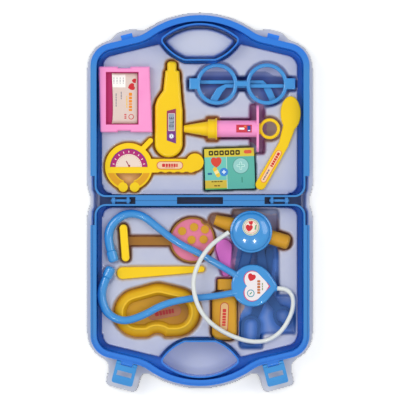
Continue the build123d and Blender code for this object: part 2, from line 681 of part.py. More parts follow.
# ---------------------------------------------------------------- more helpers
def box_plan(low_x, high_x, low_y, high_y, corner=0.0):
    """Plan of a rectangle between limits, with rounded corners if asked."""
    with BuildSketch(mode=Mode.PRIVATE) as plan:
        with Locations(((low_x + high_x) / 2, (low_y + high_y) / 2)):
            if corner:
                RectangleRounded(high_x - low_x, high_y - low_y, corner)
            else:
                Rectangle(high_x - low_x, high_y - low_y)
    return plan.sketch


def disc_plan(x, y, radius):
    """Plan of a disc."""
    with BuildSketch(mode=Mode.PRIVATE) as plan:
        with Locations((x, y)):
            Circle(radius)
    return plan.sketch


def joined(*plans):
    """Several plans as one."""
    with BuildSketch(mode=Mode.PRIVATE) as plan:
        for one in plans:
            add(one)
    return plan.sketch


def pocket(plan, gap=POCKET_GAP):
    """A toy's plan grown by the clearance of its pocket."""
    with BuildSketch(mode=Mode.PRIVATE) as grown:
        add(plan)
        offset(amount=gap)
    return grown.sketch


def label(plan, top, name):
    """A thin sticker on a flat top."""
    with BuildPart() as sticker:
        with BuildSketch(Plane.XY.offset(top)):
            add(plan)
        extrude(amount=LABEL)
    keep(sticker, name)


def tray(name, pockets, patches=()):
    """A thermoformed tray: one sheet that dips into every pocket and ends on the ledge all round."""
    with BuildPart(mode=Mode.PRIVATE) as hollow:
        with BuildSketch(Plane.XY.offset(FLOOR_TOP)):
            add(tray_plan(TRAY_WALL))
        extrude(amount=TRAY_DEEP - TRAY_WALL)
        for plan, floor in pockets:
            with BuildSketch(Plane.XY.offset(floor - TRAY_WALL)):
                add(pocket(plan, TRAY_WALL))
            extrude(amount=TRAY_DEEP, mode=Mode.SUBTRACT)
        for plan in patches:
            with BuildSketch(Plane.XY.offset(FLOOR_TOP)):
                add(pocket(plan, -TRAY_WALL))
            extrude(amount=TRAY_DEEP - TRAY_WALL)
    with BuildPart(mode=Mode.PRIVATE) as dips:
        for plan, floor in pockets:
            with BuildSketch(Plane.XY.offset(floor)):
                add(plan)
            extrude(amount=PLATEAU + TRAY_WALL - floor)
        for plan in patches:
            with BuildSketch(Plane.XY.offset(FLOOR_TOP)):
                add(plan)
            extrude(amount=TRAY_DEEP, mode=Mode.SUBTRACT)
    with BuildPart() as sheet:
        with BuildSketch(Plane.XY.offset(FLOOR_TOP)):
            add(tray_plan(0))
        extrude(amount=TRAY_DEEP)
        add(dips.part, mode=Mode.SUBTRACT)
        add(hollow.part, mode=Mode.SUBTRACT)
    part = sheet.part if name == "lid_tray" else mirror(sheet.part, about=Plane.XZ)
    part.label = name
    export_step(part, f"parts/{name}.step")


LOW = DEEP_FLOOR + SEAT_GAP             # where a toy in a deep pocket starts
lid_pockets = []
base_pockets = []


# ---------------------------------------------------------------- name badge holder and its card
with BuildPart() as badge_holder:
    with BuildSketch(Plane.XY.offset(ON_PLATEAU)):
        with BuildLine():
            Polyline(*BADGE_CORNERS, close=True)
        make_face()
        for y in (BADGE_CORNERS[0][1], BADGE_CORNERS[2][1]):
            with Locations(((BADGE_CORNERS[0][0] + BADGE_CORNERS[1][0]) / 2, y)):
                Rectangle(BADGE_NOTCH[0], 2 * BADGE_NOTCH[1], mode=Mode.SUBTRACT)
    extrude(amount=BADGE_THICK)
    fillet(badge_holder.edges().filter_by(Axis.Z).group_by(SortBy.LENGTH)[-1].sort_by(Axis.X)[:2], BADGE_CORNER)
    chamfer(badge_holder.faces().sort_by(Axis.Z)[-1].edges(), BADGE_BEVEL)
    with BuildSketch(Plane.XY.offset(ON_PLATEAU + BADGE_THICK)):
        add(box_plan(*BADGE_WINDOW))
    extrude(amount=-BADGE_WINDOW_DEEP, mode=Mode.SUBTRACT)
keep(badge_holder, "badge_holder")

with BuildPart() as badge_card:
    low_x, high_x, low_y, high_y = BADGE_WINDOW
    with BuildSketch(Plane.XY.offset(ON_PLATEAU + BADGE_THICK - BADGE_WINDOW_DEEP)):
        add(box_plan(low_x + 3 * CARD_GAP, high_x - CARD_GAP, low_y + CARD_GAP, high_y - CARD_GAP))
    extrude(amount=CARD_THICK)
keep(badge_card, "badge_card")

# ---------------------------------------------------------------- thermometer
with BuildSketch(mode=Mode.PRIVATE) as thermometer_plan:
    with BuildLine():
        tip_left, tip_right, tip_foot, tip_top = THERMO_TIP
        Polyline((tip_left, tip_top), (tip_right, tip_top), (tip_right, tip_foot), *THERMO_RIGHT, THERMO_END[0])
        ThreePointArc(*THERMO_END)
        Polyline(THERMO_END[-1], *THERMO_LEFT, (tip_left, tip_foot), (tip_left, tip_top))
    make_face()
    fillet(thermometer_plan.vertices().group_by(Axis.Y)[-1], THERMO_TIP_ROUND)
    neck = thermometer_plan.vertices().filter_by_position(Axis.Y, THERMO_LEFT[0][1], THERMO_LEFT[1][1])
    fillet(neck.sort_by(Axis.X)[:2], THERMO_NECK_ROUND)
with BuildPart() as thermometer_body:
    with BuildSketch(Plane.XY.offset(LOW)):
        add(thermometer_plan.sketch)
    extrude(amount=THERMO_THICK)
    for end in (0, -1):
        fillet(thermometer_body.faces().sort_by(Axis.Z)[end].edges(), THERMO_EDGE)
keep(thermometer_body, "thermometer_body")
lid_pockets.append((pocket(thermometer_plan.sketch), DEEP_FLOOR))

with BuildSketch(mode=Mode.PRIVATE) as thermometer_label_plan:
    with BuildLine():
        Polyline(*THERMO_LABEL, close=True)
    make_face()
label(thermometer_label_plan.sketch, LOW + THERMO_THICK, "thermometer_label")
label(box_plan(*THERMO_SCREEN), LOW + THERMO_THICK + LABEL, "thermometer_screen")
label(disc_plan(*THERMO_BUTTON), LOW + THERMO_THICK + LABEL, "thermometer_button")

# ---------------------------------------------------------------- toy glasses, folded: front, two temples, two pins
TEMPLE_LOW = LOW + TEMPLE_FIT
LAYER = TEMPLE_THICK + TEMPLE_LAYER_GAP
FRONT_Z = TEMPLE_LOW + 2 * LAYER + TEMPLE_FIT
EAR_MIDDLE = sum(EAR_Y) / 2
KNUCKLE_HALF = (EAR_Y[1] - EAR_Y[0]) / 2 - EAR_THICK - TEMPLE_FIT
BAR_ASIDE = KNUCKLE_HALF - TEMPLE_WIDE / 2      # the bars lie side by side
TEMPLES = (
    # name, block, pivot x, height of its layer, bar's y, which way it runs, its hooked end
    ("left", LEFT_BLOCK_X, LEFT_PIVOT_X, TEMPLE_LOW, EAR_MIDDLE + BAR_ASIDE, LEFT_HOOK),
    ("right", RIGHT_BLOCK_X, RIGHT_PIVOT_X, TEMPLE_LOW + LAYER, EAR_MIDDLE - BAR_ASIDE, RIGHT_HOOK),
)

with BuildPart() as glasses_front:
    with BuildSketch(Plane.XY.offset(FRONT_Z)):
        with Locations(*[(x, LENS_Y) for x in LENS_X]):
            Circle(LENS_R)
        with Locations((sum(LENS_X) / 2, EAR_MIDDLE)):
            Rectangle(LENS_X[1] - LENS_X[0], BRIDGE_WIDE)
        for name, block, pivot_x, low, bar_y, hook in TEMPLES:
            add(box_plan(*block, *EAR_Y))
        with Locations(*[(x, LENS_Y) for x in LENS_X]):
            Circle(LENS_HOLE_R, mode=Mode.SUBTRACT)
    extrude(amount=FRAME_THICK)
    fillet(glasses_front.faces().sort_by(Axis.Z)[-1].edges(), FRAME_EDGE)
    # hinge ears hang from each block on both sides of the temple
    for name, block, pivot_x, low, bar_y, hook in TEMPLES:
        for ear_y in (EAR_Y[0], EAR_Y[1] - EAR_THICK):
            with BuildSketch(Plane(origin=(pivot_x, ear_y + EAR_THICK, low + TEMPLE_THICK / 2), z_dir=(0, -1, 0),
                                   x_dir=(1, 0, 0))):
                Circle(TEMPLE_THICK / 2)
                Rectangle(TEMPLE_THICK, FRONT_Z - low, align=(Align.CENTER, Align.MIN))
            extrude(amount=EAR_THICK)
        with BuildSketch(Plane(origin=(pivot_x, EAR_Y[1], low + TEMPLE_THICK / 2), z_dir=(0, -1, 0))):
            Circle(TEMPLE_PIN_R + PIN_FIT)
        extrude(amount=EAR_Y[1] - EAR_Y[0], mode=Mode.SUBTRACT)
keep(glasses_front, "glasses_front")

for name, block, pivot_x, low, bar_y, hook in TEMPLES:
    bar_end, (elbow, elbow_wide), (hook_tip, hook_wide) = hook
    with BuildPart() as temple:
        with BuildSketch(Plane.XY.offset(low)):
            add(box_plan(*sorted((pivot_x, bar_end)), bar_y - TEMPLE_WIDE / 2, bar_y + TEMPLE_WIDE / 2))
            add(oval_plan((bar_end, bar_y), elbow, TEMPLE_WIDE, elbow_wide))
            add(oval_plan(elbow, hook_tip, elbow_wide, hook_wide))
        extrude(amount=TEMPLE_THICK)
        fillet(temple.faces().sort_by(Axis.Z)[-1].edges(), TEMPLE_EDGE)
        with BuildSketch(Plane(origin=(pivot_x, EAR_MIDDLE, low + TEMPLE_THICK / 2), z_dir=(0, -1, 0))):
            Circle(TEMPLE_THICK / 2)
        extrude(amount=KNUCKLE_HALF, both=True)
        with BuildSketch(Plane(origin=(pivot_x, EAR_MIDDLE, low + TEMPLE_THICK / 2), z_dir=(0, -1, 0))):
            Circle(TEMPLE_PIN_R + PIN_FIT)
        extrude(amount=2 * KNUCKLE_HALF, both=True, mode=Mode.SUBTRACT)
    keep(temple, f"temple_{name}")
    with BuildPart() as temple_pin:
        with BuildSketch(Plane(origin=(pivot_x, EAR_Y[1], low + TEMPLE_THICK / 2), z_dir=(0, -1, 0))):
            Circle(TEMPLE_PIN_R)
        extrude(amount=EAR_Y[1] - EAR_Y[0])
    keep(temple_pin, f"temple_pin_{name}")

lid_pockets.append((joined(
    box_plan(LEFT_BLOCK_X[0] - POCKET_GAP, RIGHT_BLOCK_X[1] + POCKET_GAP, EAR_Y[0] - POCKET_GAP, EAR_Y[1] + POCKET_GAP),
    *[disc_plan(x, LENS_Y, LENS_R + POCKET_GAP) for x in LENS_X]), DEEP_FLOOR))

# ---------------------------------------------------------------- syringe: nozzle, barrel, plunger, seal, label
SYRINGE_Z = LOW + COLLAR_RIM_R
SYRINGE_AXIS = Plane(origin=(0, SYRINGE_Y, SYRINGE_Z), x_dir=(1, 0, 0), z_dir=(0, -1, 0))
BORE_R = BARREL_R - BARREL_WALL


def turned(name, *profile):
    """A round piece on the syringe's axis, from its half profile of (x, radius) points."""
    with BuildPart() as piece:
        with BuildSketch(SYRINGE_AXIS):
            with BuildLine():
                Polyline(*profile, close=True)
            make_face()
        revolve(axis=Axis((0, SYRINGE_Y, SYRINGE_Z), (1, 0, 0)))
    if name:
        keep(piece, name)
    return piece


turned("syringe_nozzle", (SYRINGE_TIP_X, 0), (SYRINGE_TIP_X, SYRINGE_TIP_R), (CONE_END_X, CONE_END_R),
       (CONE_END_X, COLLAR_R), (COLLAR_END_X - COLLAR_RIM_LONG, COLLAR_R),
       (COLLAR_END_X - COLLAR_RIM_LONG, COLLAR_RIM_R), (COLLAR_END_X, COLLAR_RIM_R), (COLLAR_END_X, 0))

barrel_tube = turned("", (COLLAR_END_X, BORE_R), (COLLAR_END_X, BARREL_R), (BARREL_END_X, BARREL_R),
                     (BARREL_END_X, BORE_R))
with BuildPart() as syringe_barrel:
    add(barrel_tube.part)
    with BuildSketch(Plane(origin=(BARREL_END_X, SYRINGE_Y, SYRINGE_Z), x_dir=(0, 1, 0), z_dir=(-1, 0, 0))):
        SlotOverall(2 * WING_HALF_LONG, 2 * WING_HALF_HIGH)
    extrude(amount=WING_THICK)
    with BuildSketch(Plane(origin=(BARREL_END_X, SYRINGE_Y, SYRINGE_Z), z_dir=(-1, 0, 0))):
        Circle(BORE_R)
    extrude(amount=WING_THICK, mode=Mode.SUBTRACT)
keep(syringe_barrel, "syringe_barrel")

seal_x = COLLAR_END_X + SEAL_AHEAD
stop_x = BARREL_END_X - PLUNGER_STOP_IN
rod_end = BARREL_END_X + PLUNGER_STOP_OUT
turned("plunger_seal", (seal_x, 0), (seal_x, BORE_R - SEAL_FIT), (seal_x + SEAL_LONG, BORE_R - SEAL_FIT),
       (seal_x + SEAL_LONG, 0))
rod = turned("", (seal_x + SEAL_LONG, 0), (seal_x + SEAL_LONG, PLUNGER_ROD_R), (stop_x, PLUNGER_ROD_R),
             (stop_x, PLUNGER_STOP_R), (rod_end, PLUNGER_STOP_R), (rod_end, 0))
with BuildPart() as plunger:
    with BuildSketch(Plane.XY.offset(SYRINGE_Z - PLUNGER_RING_THICK / 2)):
        with Locations((PLUNGER_RING_X, SYRINGE_Y)):
            Circle(PLUNGER_RING_R)
            Circle(PLUNGER_RING_HOLE_R, mode=Mode.SUBTRACT)
    extrude(amount=PLUNGER_RING_THICK)
    fillet(plunger.edges(), PLUNGER_EDGE)
    add(rod.part)
keep(plunger, "plunger")

with BuildPart() as syringe_label:
    with BuildSketch(Plane(origin=(SYRINGE_LABEL_X[0], SYRINGE_Y, SYRINGE_Z), x_dir=(0, 1, 0), z_dir=(1, 0, 0))):
        Circle(BARREL_R + LABEL)
        Circle(BARREL_R, mode=Mode.SUBTRACT)
        half_wide = BARREL_R * tan(radians(SYRINGE_LABEL_ANGLE))
        with BuildLine():
            Polyline((0, 0), (2 * half_wide, 2 * BARREL_R), (-2 * half_wide, 2 * BARREL_R), close=True)
        make_face(mode=Mode.INTERSECT)
    extrude(amount=SYRINGE_LABEL_X[1] - SYRINGE_LABEL_X[0])
keep(syringe_label, "syringe_label")

lid_pockets.append((joined(
    pocket(oval_plan((SYRINGE_TIP_X + SYRINGE_TIP_R, SYRINGE_Y), (CONE_END_X, SYRINGE_Y), 2 * SYRINGE_TIP_R,
                     2 * CONE_END_R)),
    box_plan(CONE_END_X - POCKET_GAP, COLLAR_END_X + POCKET_GAP, SYRINGE_Y - COLLAR_RIM_R - POCKET_GAP,
             SYRINGE_Y + COLLAR_RIM_R + POCKET_GAP),
    box_plan(COLLAR_END_X, PLUNGER_RING_X, SYRINGE_Y - BARREL_R - POCKET_GAP, SYRINGE_Y + BARREL_R + POCKET_GAP),
    box_plan(BARREL_END_X - WING_POCKET[0], BARREL_END_X + WING_POCKET[1], SYRINGE_Y - WING_HALF_LONG - POCKET_GAP,
             SYRINGE_Y + WING_HALF_LONG + POCKET_GAP),
    disc_plan(PLUNGER_RING_X, SYRINGE_Y, PLUNGER_RING_R + POCKET_GAP)), DEEP_FLOOR))

# ---------------------------------------------------------------- spatula
with BuildSketch(mode=Mode.PRIVATE) as spatula_plan:
    with Locations((SPATULA_BOWL[0], SPATULA_BOWL[1])):
        Ellipse(SPATULA_BOWL[2], SPATULA_BOWL[3])
    add(oval_plan(SPATULA_NECK[:2], SPATULA_HAND[:2], 2 * SPATULA_NECK[2], 2 * SPATULA_HAND[2]))
    add(oval_plan(SPATULA_HAND[:2], SPATULA_END[:2], 2 * SPATULA_HAND[2], 2 * SPATULA_END[2]))
with BuildPart() as spatula:
    with BuildSketch(Plane.XY.offset(ON_PLATEAU)):
        add(spatula_plan.sketch)
    extrude(amount=SPATULA_THICK)
    chamfer(spatula.faces().sort_by(Axis.Z)[-1].edges(), SPATULA_EDGE)
keep(spatula, "spatula")
label(bar_plan(*SPATULA_LABEL), ON_PLATEAU + SPATULA_THICK, "spatula_label")

# ---------------------------------------------------------------- ring gauge
gauge_x, gauge_y = GAUGE_CENTRE
GAUGE_FLOOR = DEEP_FLOOR + GAUGE_UP
GAUGE_TOP = GAUGE_FLOOR + SEAT_GAP + GAUGE_THICK
knob_half, knob_y, knob_r = GAUGE_BALL
with BuildSketch(mode=Mode.PRIVATE) as gauge_plan:
    with Locations(GAUGE_CENTRE):
        Circle(GAUGE_R)
    add(box_plan(gauge_x, GAUGE_HANDLE_END[0], *GAUGE_HANDLE_Y))
    add(disc_plan(*GAUGE_HANDLE_END))
    add(bar_plan(*GAUGE_PEG))
with BuildSketch(mode=Mode.PRIVATE) as gauge_opening:
    with Locations(GAUGE_CENTRE):
        Circle(GAUGE_HOLE_R)
    with Locations((gauge_x, gauge_y + GAUGE_BAR_LOW)):
        Rectangle(2 * GAUGE_R, 2 * GAUGE_R, align=(Align.CENTER, Align.MIN), mode=Mode.SUBTRACT)
    add(box_plan(gauge_x - GAUGE_MOUTH, gauge_x + GAUGE_MOUTH, gauge_y - 2 * GAUGE_R, gauge_y + GAUGE_BAR_LOW))
with BuildSketch(mode=Mode.PRIVATE) as gauge_dial_plan:
    with Locations((gauge_x, gauge_y + GAUGE_BAR_HIGH)):
        Circle(GAUGE_DIAL_R)
        Rectangle(2 * GAUGE_R, 2 * GAUGE_R, align=(Align.CENTER, Align.MAX), mode=Mode.SUBTRACT)
with BuildPart() as gauge_body:
    with BuildSketch(Plane.XY.offset(GAUGE_FLOOR + SEAT_GAP)):
        add(gauge_plan.sketch)
        add(gauge_opening.sketch, mode=Mode.SUBTRACT)
        scallop_pitch = (GAUGE_HANDLE_END[0] - gauge_x - GAUGE_R) / GAUGE_SCALLOPS
        with Locations(*[(gauge_x + GAUGE_R + (n + 1) * scallop_pitch,
                          GAUGE_HANDLE_Y[0] + GAUGE_SCALLOP_DEEP - GAUGE_SCALLOP_R)
                         for n in range(GAUGE_SCALLOPS)]):
            Circle(GAUGE_SCALLOP_R, mode=Mode.SUBTRACT)
        for side in (-1, 1):
            add(disc_plan(gauge_x + side * knob_half, knob_y, knob_r))
    extrude(amount=GAUGE_THICK)
    with BuildSketch(Plane.XY.offset(GAUGE_TOP)):
        add(gauge_dial_plan.sketch)
    extrude(amount=-GAUGE_DIAL_DEEP, mode=Mode.SUBTRACT)
keep(gauge_body, "gauge_body")
label(pocket(gauge_dial_plan.sketch, -LABEL), GAUGE_TOP - GAUGE_DIAL_DEEP, "gauge_dial")
label(bar_plan(*GAUGE_LABEL), GAUGE_TOP, "gauge_label")
lid_pockets.append((pocket(joined(gauge_plan.sketch, disc_plan(gauge_x - knob_half, knob_y, knob_r),
                                  disc_plan(gauge_x + knob_half, knob_y, knob_r)), LIFT_ROOM), GAUGE_FLOOR))

# ---------------------------------------------------------------- picture box
box_plane = Plane(origin=(*BOX_CENTRE, LOW), x_dir=(cos(radians(BOX_TURN)), sin(radians(BOX_TURN)), 0))
with BuildPart() as picture_box:
    with BuildSketch(box_plane):
        Rectangle(*BOX_SIZE)
    extrude(amount=BOX_THICK)
    fillet(picture_box.edges().filter_by(Axis.Z), BOX_CORNER)
keep(picture_box, "picture_box")
with BuildSketch(box_plane, mode=Mode.PRIVATE) as box_pocket:
    Rectangle(BOX_SIZE[0] + 2 * LIFT_ROOM, BOX_SIZE[1] + 2 * LIFT_ROOM)
lid_pockets.append((Plane.XY.offset(-LOW) * box_pocket.sketch, DEEP_FLOOR))

tray("lid_tray", lid_pockets)


# ================================================================ toys in the base
def flipped(plan):
    """A plan of the base, turned to +Y, where trays are made."""
    return mirror(plan, about=Plane.XZ)


# ---------------------------------------------------------------- stethoscope
TUBE_Z = ON_PLATEAU + TUBE_R
for name, route in (("upper", HEADSET_UPPER), ("lower", HEADSET_LOWER)):
    headset_tube, long = tube([(x, y, TUBE_Z) for x, y in route], TUBE_R)
    print(f"headset_tube_{name} length {long:.1f}")
    headset_tube.label = f"headset_tube_{name}"
    export_step(headset_tube, f"parts/headset_tube_{name}.step")
    along = (Vector(*route[-1]) - Vector(*route[-2])).normalized()
    with BuildPart() as ear_tip:
        with BuildSketch(Plane(origin=(*route[-1], TUBE_Z), x_dir=(along.X, along.Y, 0), z_dir=(0, 0, 1))):
            with BuildLine():
                Polyline((0, 0), (0, TUBE_R), (EAR_TIP_ROUND / 2, EAR_TIP_R), (EAR_TIP_LONG - EAR_TIP_ROUND, EAR_TIP_R))
                TangentArc((EAR_TIP_LONG - EAR_TIP_ROUND, EAR_TIP_R), (EAR_TIP_LONG, EAR_TIP_R - EAR_TIP_ROUND),
                           tangent=(1, 0))
                Polyline((EAR_TIP_LONG, EAR_TIP_R - EAR_TIP_ROUND), (EAR_TIP_LONG, 0), (0, 0))
            make_face()
        revolve(axis=Axis((*route[-1], TUBE_Z), (along.X, along.Y, 0)))
    keep(ear_tip, f"ear_tip_{name}")
    tip_end = tuple(Vector(*route[-1]) + along * (EAR_TIP_LONG - EAR_TIP_R))[:2]
    base_pockets.append((flipped(pocket(bar_plan(route[-1], tip_end, 2 * EAR_TIP_R), LIFT_ROOM)),
                         TUBE_Z - EAR_TIP_R - SEAT_GAP))

with BuildPart() as stethoscope_plate:
    with BuildSketch(Plane.XY.offset(TUBE_Z - PLATE_THICK / 2)):
        add(oval_plan(*PLATE))
    extrude(amount=PLATE_THICK)
    fillet(stethoscope_plate.edges(), PLATE_EDGE)
    # sockets for both headset tubes and for the hose
    for mouth, toward, radius in ((HEADSET_UPPER[0], HEADSET_UPPER[1], TUBE_R),
                                  (HEADSET_LOWER[0], HEADSET_LOWER[1], TUBE_R),
                                  (HOSE_ROUTE[-1], HOSE_ROUTE[-2], HOSE_BOSS_R)):
        mouth, toward = Vector(*mouth[:2], TUBE_Z), Vector(*toward[:2], TUBE_Z)
        with BuildSketch(Plane(origin=mouth, z_dir=mouth - toward)):
            Circle(radius)
        extrude(amount=SOCKET_DEEP)
keep(stethoscope_plate, "stethoscope_plate")

upper_lobe, lower_lobe, lobe_wide = HEART_LOBES
heart_tip, tip_wide = HEART_TIP
heart_plan = joined(oval_plan(upper_lobe, heart_tip, lobe_wide, tip_wide),
                    oval_plan(lower_lobe, heart_tip, lobe_wide, tip_wide))
label(heart_plan, TUBE_Z + PLATE_THICK / 2, "heart_label")

CHEST_LOW = LOW + 2 * HAMMER_R + SEAT_GAP
(chest_x, chest_y), chest_point, chest_wide, point_wide = CHEST
with BuildPart() as chest_piece:
    with BuildSketch(Plane.XY.offset(CHEST_LOW)):
        add(oval_plan(*CHEST))
    extrude(amount=CHEST_STEP)
    fillet(chest_piece.faces().sort_by(Axis.Z)[-1].edges(), CHEST_EDGES[0])
    with BuildSketch(Plane.XY.offset(CHEST_LOW + CHEST_STEP)):
        add(oval_plan((chest_x, chest_y), chest_point, chest_wide - 2 * CHEST_STEP_IN, point_wide - 2 * CHEST_STEP_IN))
    extrude(amount=CHEST_THICK - CHEST_STEP)
    fillet(chest_piece.faces().sort_by(Axis.Z)[-1].edges(), CHEST_EDGES[1])
    with BuildSketch(Plane.XY.offset(CHEST_LOW)):
        add(disc_plan(chest_x, chest_y, DIAPHRAGM_R + SEAT_GAP))
    extrude(amount=DIAPHRAGM_THICK, mode=Mode.SUBTRACT)
    # socket for the hose
    with BuildSketch(Plane(origin=HOSE_ROUTE[0], z_dir=Vector(*HOSE_ROUTE[0]) - Vector(*HOSE_ROUTE[1]))):
        Circle(HOSE_BOSS_R)
    extrude(amount=SOCKET_DEEP)
keep(chest_piece, "chest_piece")
with BuildPart() as chest_diaphragm:
    with BuildSketch(Plane.XY.offset(CHEST_LOW)):
        add(disc_plan(chest_x, chest_y, DIAPHRAGM_R))
    extrude(amount=DIAPHRAGM_THICK)
keep(chest_diaphragm, "chest_diaphragm")
label(disc_plan(*CHEST_LABEL), CHEST_LOW + CHEST_THICK, "chest_label")

hose_tube, hose_long = tube(HOSE_ROUTE, HOSE_R)
hose_tube.label = "hose"
export_step(hose_tube, "parts/hose.step")
print("hose radii", [round(radius, 1) for radius in corner_radii(HOSE_ROUTE)])
print(f"hose length {hose_long:.1f}, volume over section times length "
      f"{hose_tube.volume / (pi * HOSE_R ** 2 * hose_long):.4f}")

# ---------------------------------------------------------------- reflex hammer
left, right = Vector(*HAMMER_LEFT), Vector(*HAMMER_RIGHT)
hammer_run = right - left
hammer_z = LOW + HAMMER_R
hammer_plane = Plane(origin=(left.X, left.Y, hammer_z), x_dir=(hammer_run.X, hammer_run.Y, 0), z_dir=(0, 0, 1))
with BuildPart() as hammer_head:
    with BuildSketch(hammer_plane):
        with BuildLine():
            Polyline((0, 0), (0, HAMMER_NOSE_R), (hammer_run.length * HAMMER_TAPER, HAMMER_R),
                     (hammer_run.length - HAMMER_R / 2, HAMMER_R))
            TangentArc((hammer_run.length - HAMMER_R / 2, HAMMER_R), (hammer_run.length, HAMMER_R / 2), tangent=(1, 0))
            Polyline((hammer_run.length, HAMMER_R / 2), (hammer_run.length, 0), (0, 0))
        make_face()
    revolve(axis=Axis(hammer_plane.origin, hammer_plane.x_dir))
    # socket for the grip
    grip_start, grip_end, grip_wide = HAMMER_GRIP
    with BuildSketch(Plane.XY.offset(hammer_z - HAMMER_GRIP_THICK / 2 - SEAT_GAP)):
        add(bar_plan(grip_start, grip_end, grip_wide + 2 * SEAT_GAP))
    extrude(amount=HAMMER_GRIP_THICK + 2 * SEAT_GAP, mode=Mode.SUBTRACT)
keep(hammer_head, "hammer_head")
with BuildPart() as hammer_grip:
    with BuildSketch(Plane.XY.offset(hammer_z - HAMMER_GRIP_THICK / 2)):
        add(bar_plan(grip_start, grip_end, grip_wide))
    extrude(amount=HAMMER_GRIP_THICK)
    chamfer(hammer_grip.faces().sort_by(Axis.Z)[-1].edges(), HAMMER_GRIP_EDGE)
keep(hammer_grip, "hammer_grip")
waist = tuple(left + hammer_run * HAMMER_TAPER)[:2]
face_end = tuple(right - hammer_run.normalized() * (HAMMER_R - POCKET_GAP))[:2]
hammer_shadow = joined(oval_plan(HAMMER_LEFT, waist, 2 * HAMMER_NOSE_R, 2 * HAMMER_R),
                       bar_plan(waist, face_end, 2 * HAMMER_R))

# ---------------------------------------------------------------- tee handled disc
tee_x, tee_y, tee_r = TEE_DISC
tee_low = TEE_FLOOR + SEAT_GAP
with BuildSketch(mode=Mode.PRIVATE) as tee_disc_plan:
    add(disc_plan(*TEE_DISC))
    add(disc_plan(*TEE_NOTCH), mode=Mode.SUBTRACT)
tee_stem_plan = box_plan(TEE_BAR[0][0], tee_x - tee_r + TEE_RIM, TEE_STEM_Y - TEE_STEM_WIDE / 2,
                         TEE_STEM_Y + TEE_STEM_WIDE / 2)
with BuildPart() as tee_handle:
    with BuildSketch(Plane.XY.offset(tee_low)):
        add(bar_plan(*TEE_BAR))
    extrude(amount=TEE_BAR_THICK)
    fillet(tee_handle.faces().sort_by(Axis.Z)[-1].edges(), TEE_BAR_EDGE)
    with BuildSketch(Plane.XY.offset(tee_low)):
        add(tee_stem_plan)
    extrude(amount=TEE_STEM_THICK)
    # rim that holds the disc
    with BuildSketch(Plane.XY.offset(tee_low)):
        add(tee_disc_plan.sketch)
        offset(amount=-TEE_RIM, mode=Mode.SUBTRACT)
    extrude(amount=TEE_DISC_THICK)
keep(tee_handle, "tee_handle")
tee_face_plan = pocket(tee_disc_plan.sketch, -TEE_RIM)
with BuildPart() as tee_face:
    with BuildSketch(Plane.XY.offset(tee_low)):
        add(tee_face_plan)
    extrude(amount=TEE_DISC_THICK - TEE_DOT_TALL)
keep(tee_face, "tee_face")
with BuildPart() as tee_dots:
    with BuildSketch(Plane.XY.offset(tee_low + TEE_DISC_THICK - TEE_DOT_TALL)):
        with Locations(*TEE_DOTS):
            Circle(TEE_DOT_R)
    extrude(amount=TEE_DOT_TALL)
keep(tee_dots, "tee_dots")

# ---------------------------------------------------------------- spoon and tongue depressor
with BuildPart() as spoon:
    with BuildSketch(Plane.XY.offset(SPOON_FLOOR + SEAT_GAP)):
        add(oval_plan(*SPOON))
    extrude(amount=SPOON_THICK)
    fillet(spoon.faces().sort_by(Axis.Z)[-1].edges(), SPOON_EDGE)
keep(spoon, "spoon")
DEPRESSOR_FLOOR = PLATEAU - DEPRESSOR_THICK - 2 * SEAT_GAP
with BuildPart() as tongue_depressor:
    with BuildSketch(Plane.XY.offset(DEPRESSOR_FLOOR + SEAT_GAP)):
        add(oval_plan(*DEPRESSOR))
    extrude(amount=DEPRESSOR_THICK)
    fillet(tongue_depressor.faces().sort_by(Axis.Z)[-1].edges(), DEPRESSOR_EDGE)
keep(tongue_depressor, "tongue_depressor")


# ---------------------------------------------------------------- kidney dish
def dish_plan(grow):
    """Kidney outline, grown from the outside of the rim."""
    with BuildSketch(mode=Mode.PRIVATE) as plan:
        for x, y, radius in DISH_CIRCLES:
            with Locations((x, y)):
                Circle(radius + grow)
        make_hull()
        x, y, radius = DISH_NOTCH
        with Locations((x, y)):
            Circle(radius - grow, mode=Mode.SUBTRACT)
        fillet(plan.vertices().sort_by(Axis((x, y, 0), (0, 1, 0)))[:2], DISH_NOTCH_BLEND + grow / 2)
    return plan.sketch


DISH_TALL = PLATEAU - LOW - SEAT_GAP / 3
DISH_TOP = LOW + DISH_TALL


def dish_block(low, inset_low, high, inset_high):
    """A solid between two sizes of the kidney outline."""
    with BuildPart(mode=Mode.PRIVATE) as block:
        for z, inset in ((low, inset_low), (high, inset_high)):
            with BuildSketch(Plane.XY.offset(z)):
                add(dish_plan(-inset))
        loft()
    return block.part


bowl_room = dish_block(LOW + DISH_WALL, DISH_SKIRT + DISH_WALL + DISH_SLOPE_RUN, DISH_TOP, DISH_SKIRT + DISH_WALL)
skirt_room = dish_block(LOW, DISH_WALL, DISH_TOP - 2 * DISH_WALL, DISH_SKIRT - DISH_RIDGE)
bowl_outside = dish_block(LOW - DISH_WALL, DISH_SKIRT + DISH_SLOPE_RUN, DISH_TOP, DISH_SKIRT + DISH_RIDGE)
with BuildPart() as kidney_dish:
    with BuildSketch(Plane.XY.offset(LOW)):
        add(dish_plan(0))
    extrude(amount=DISH_FOOT)
    add(dish_block(LOW + DISH_FOOT, 0, DISH_TOP, DISH_SKIRT))
    add(bowl_room, mode=Mode.SUBTRACT)
    # hollow under the skirt, all round the bowl
    add(skirt_room - bowl_outside, mode=Mode.SUBTRACT)
keep(kidney_dish, "kidney_dish")
label(bar_plan(*DISH_LABEL), LOW + DISH_WALL, "dish_label")

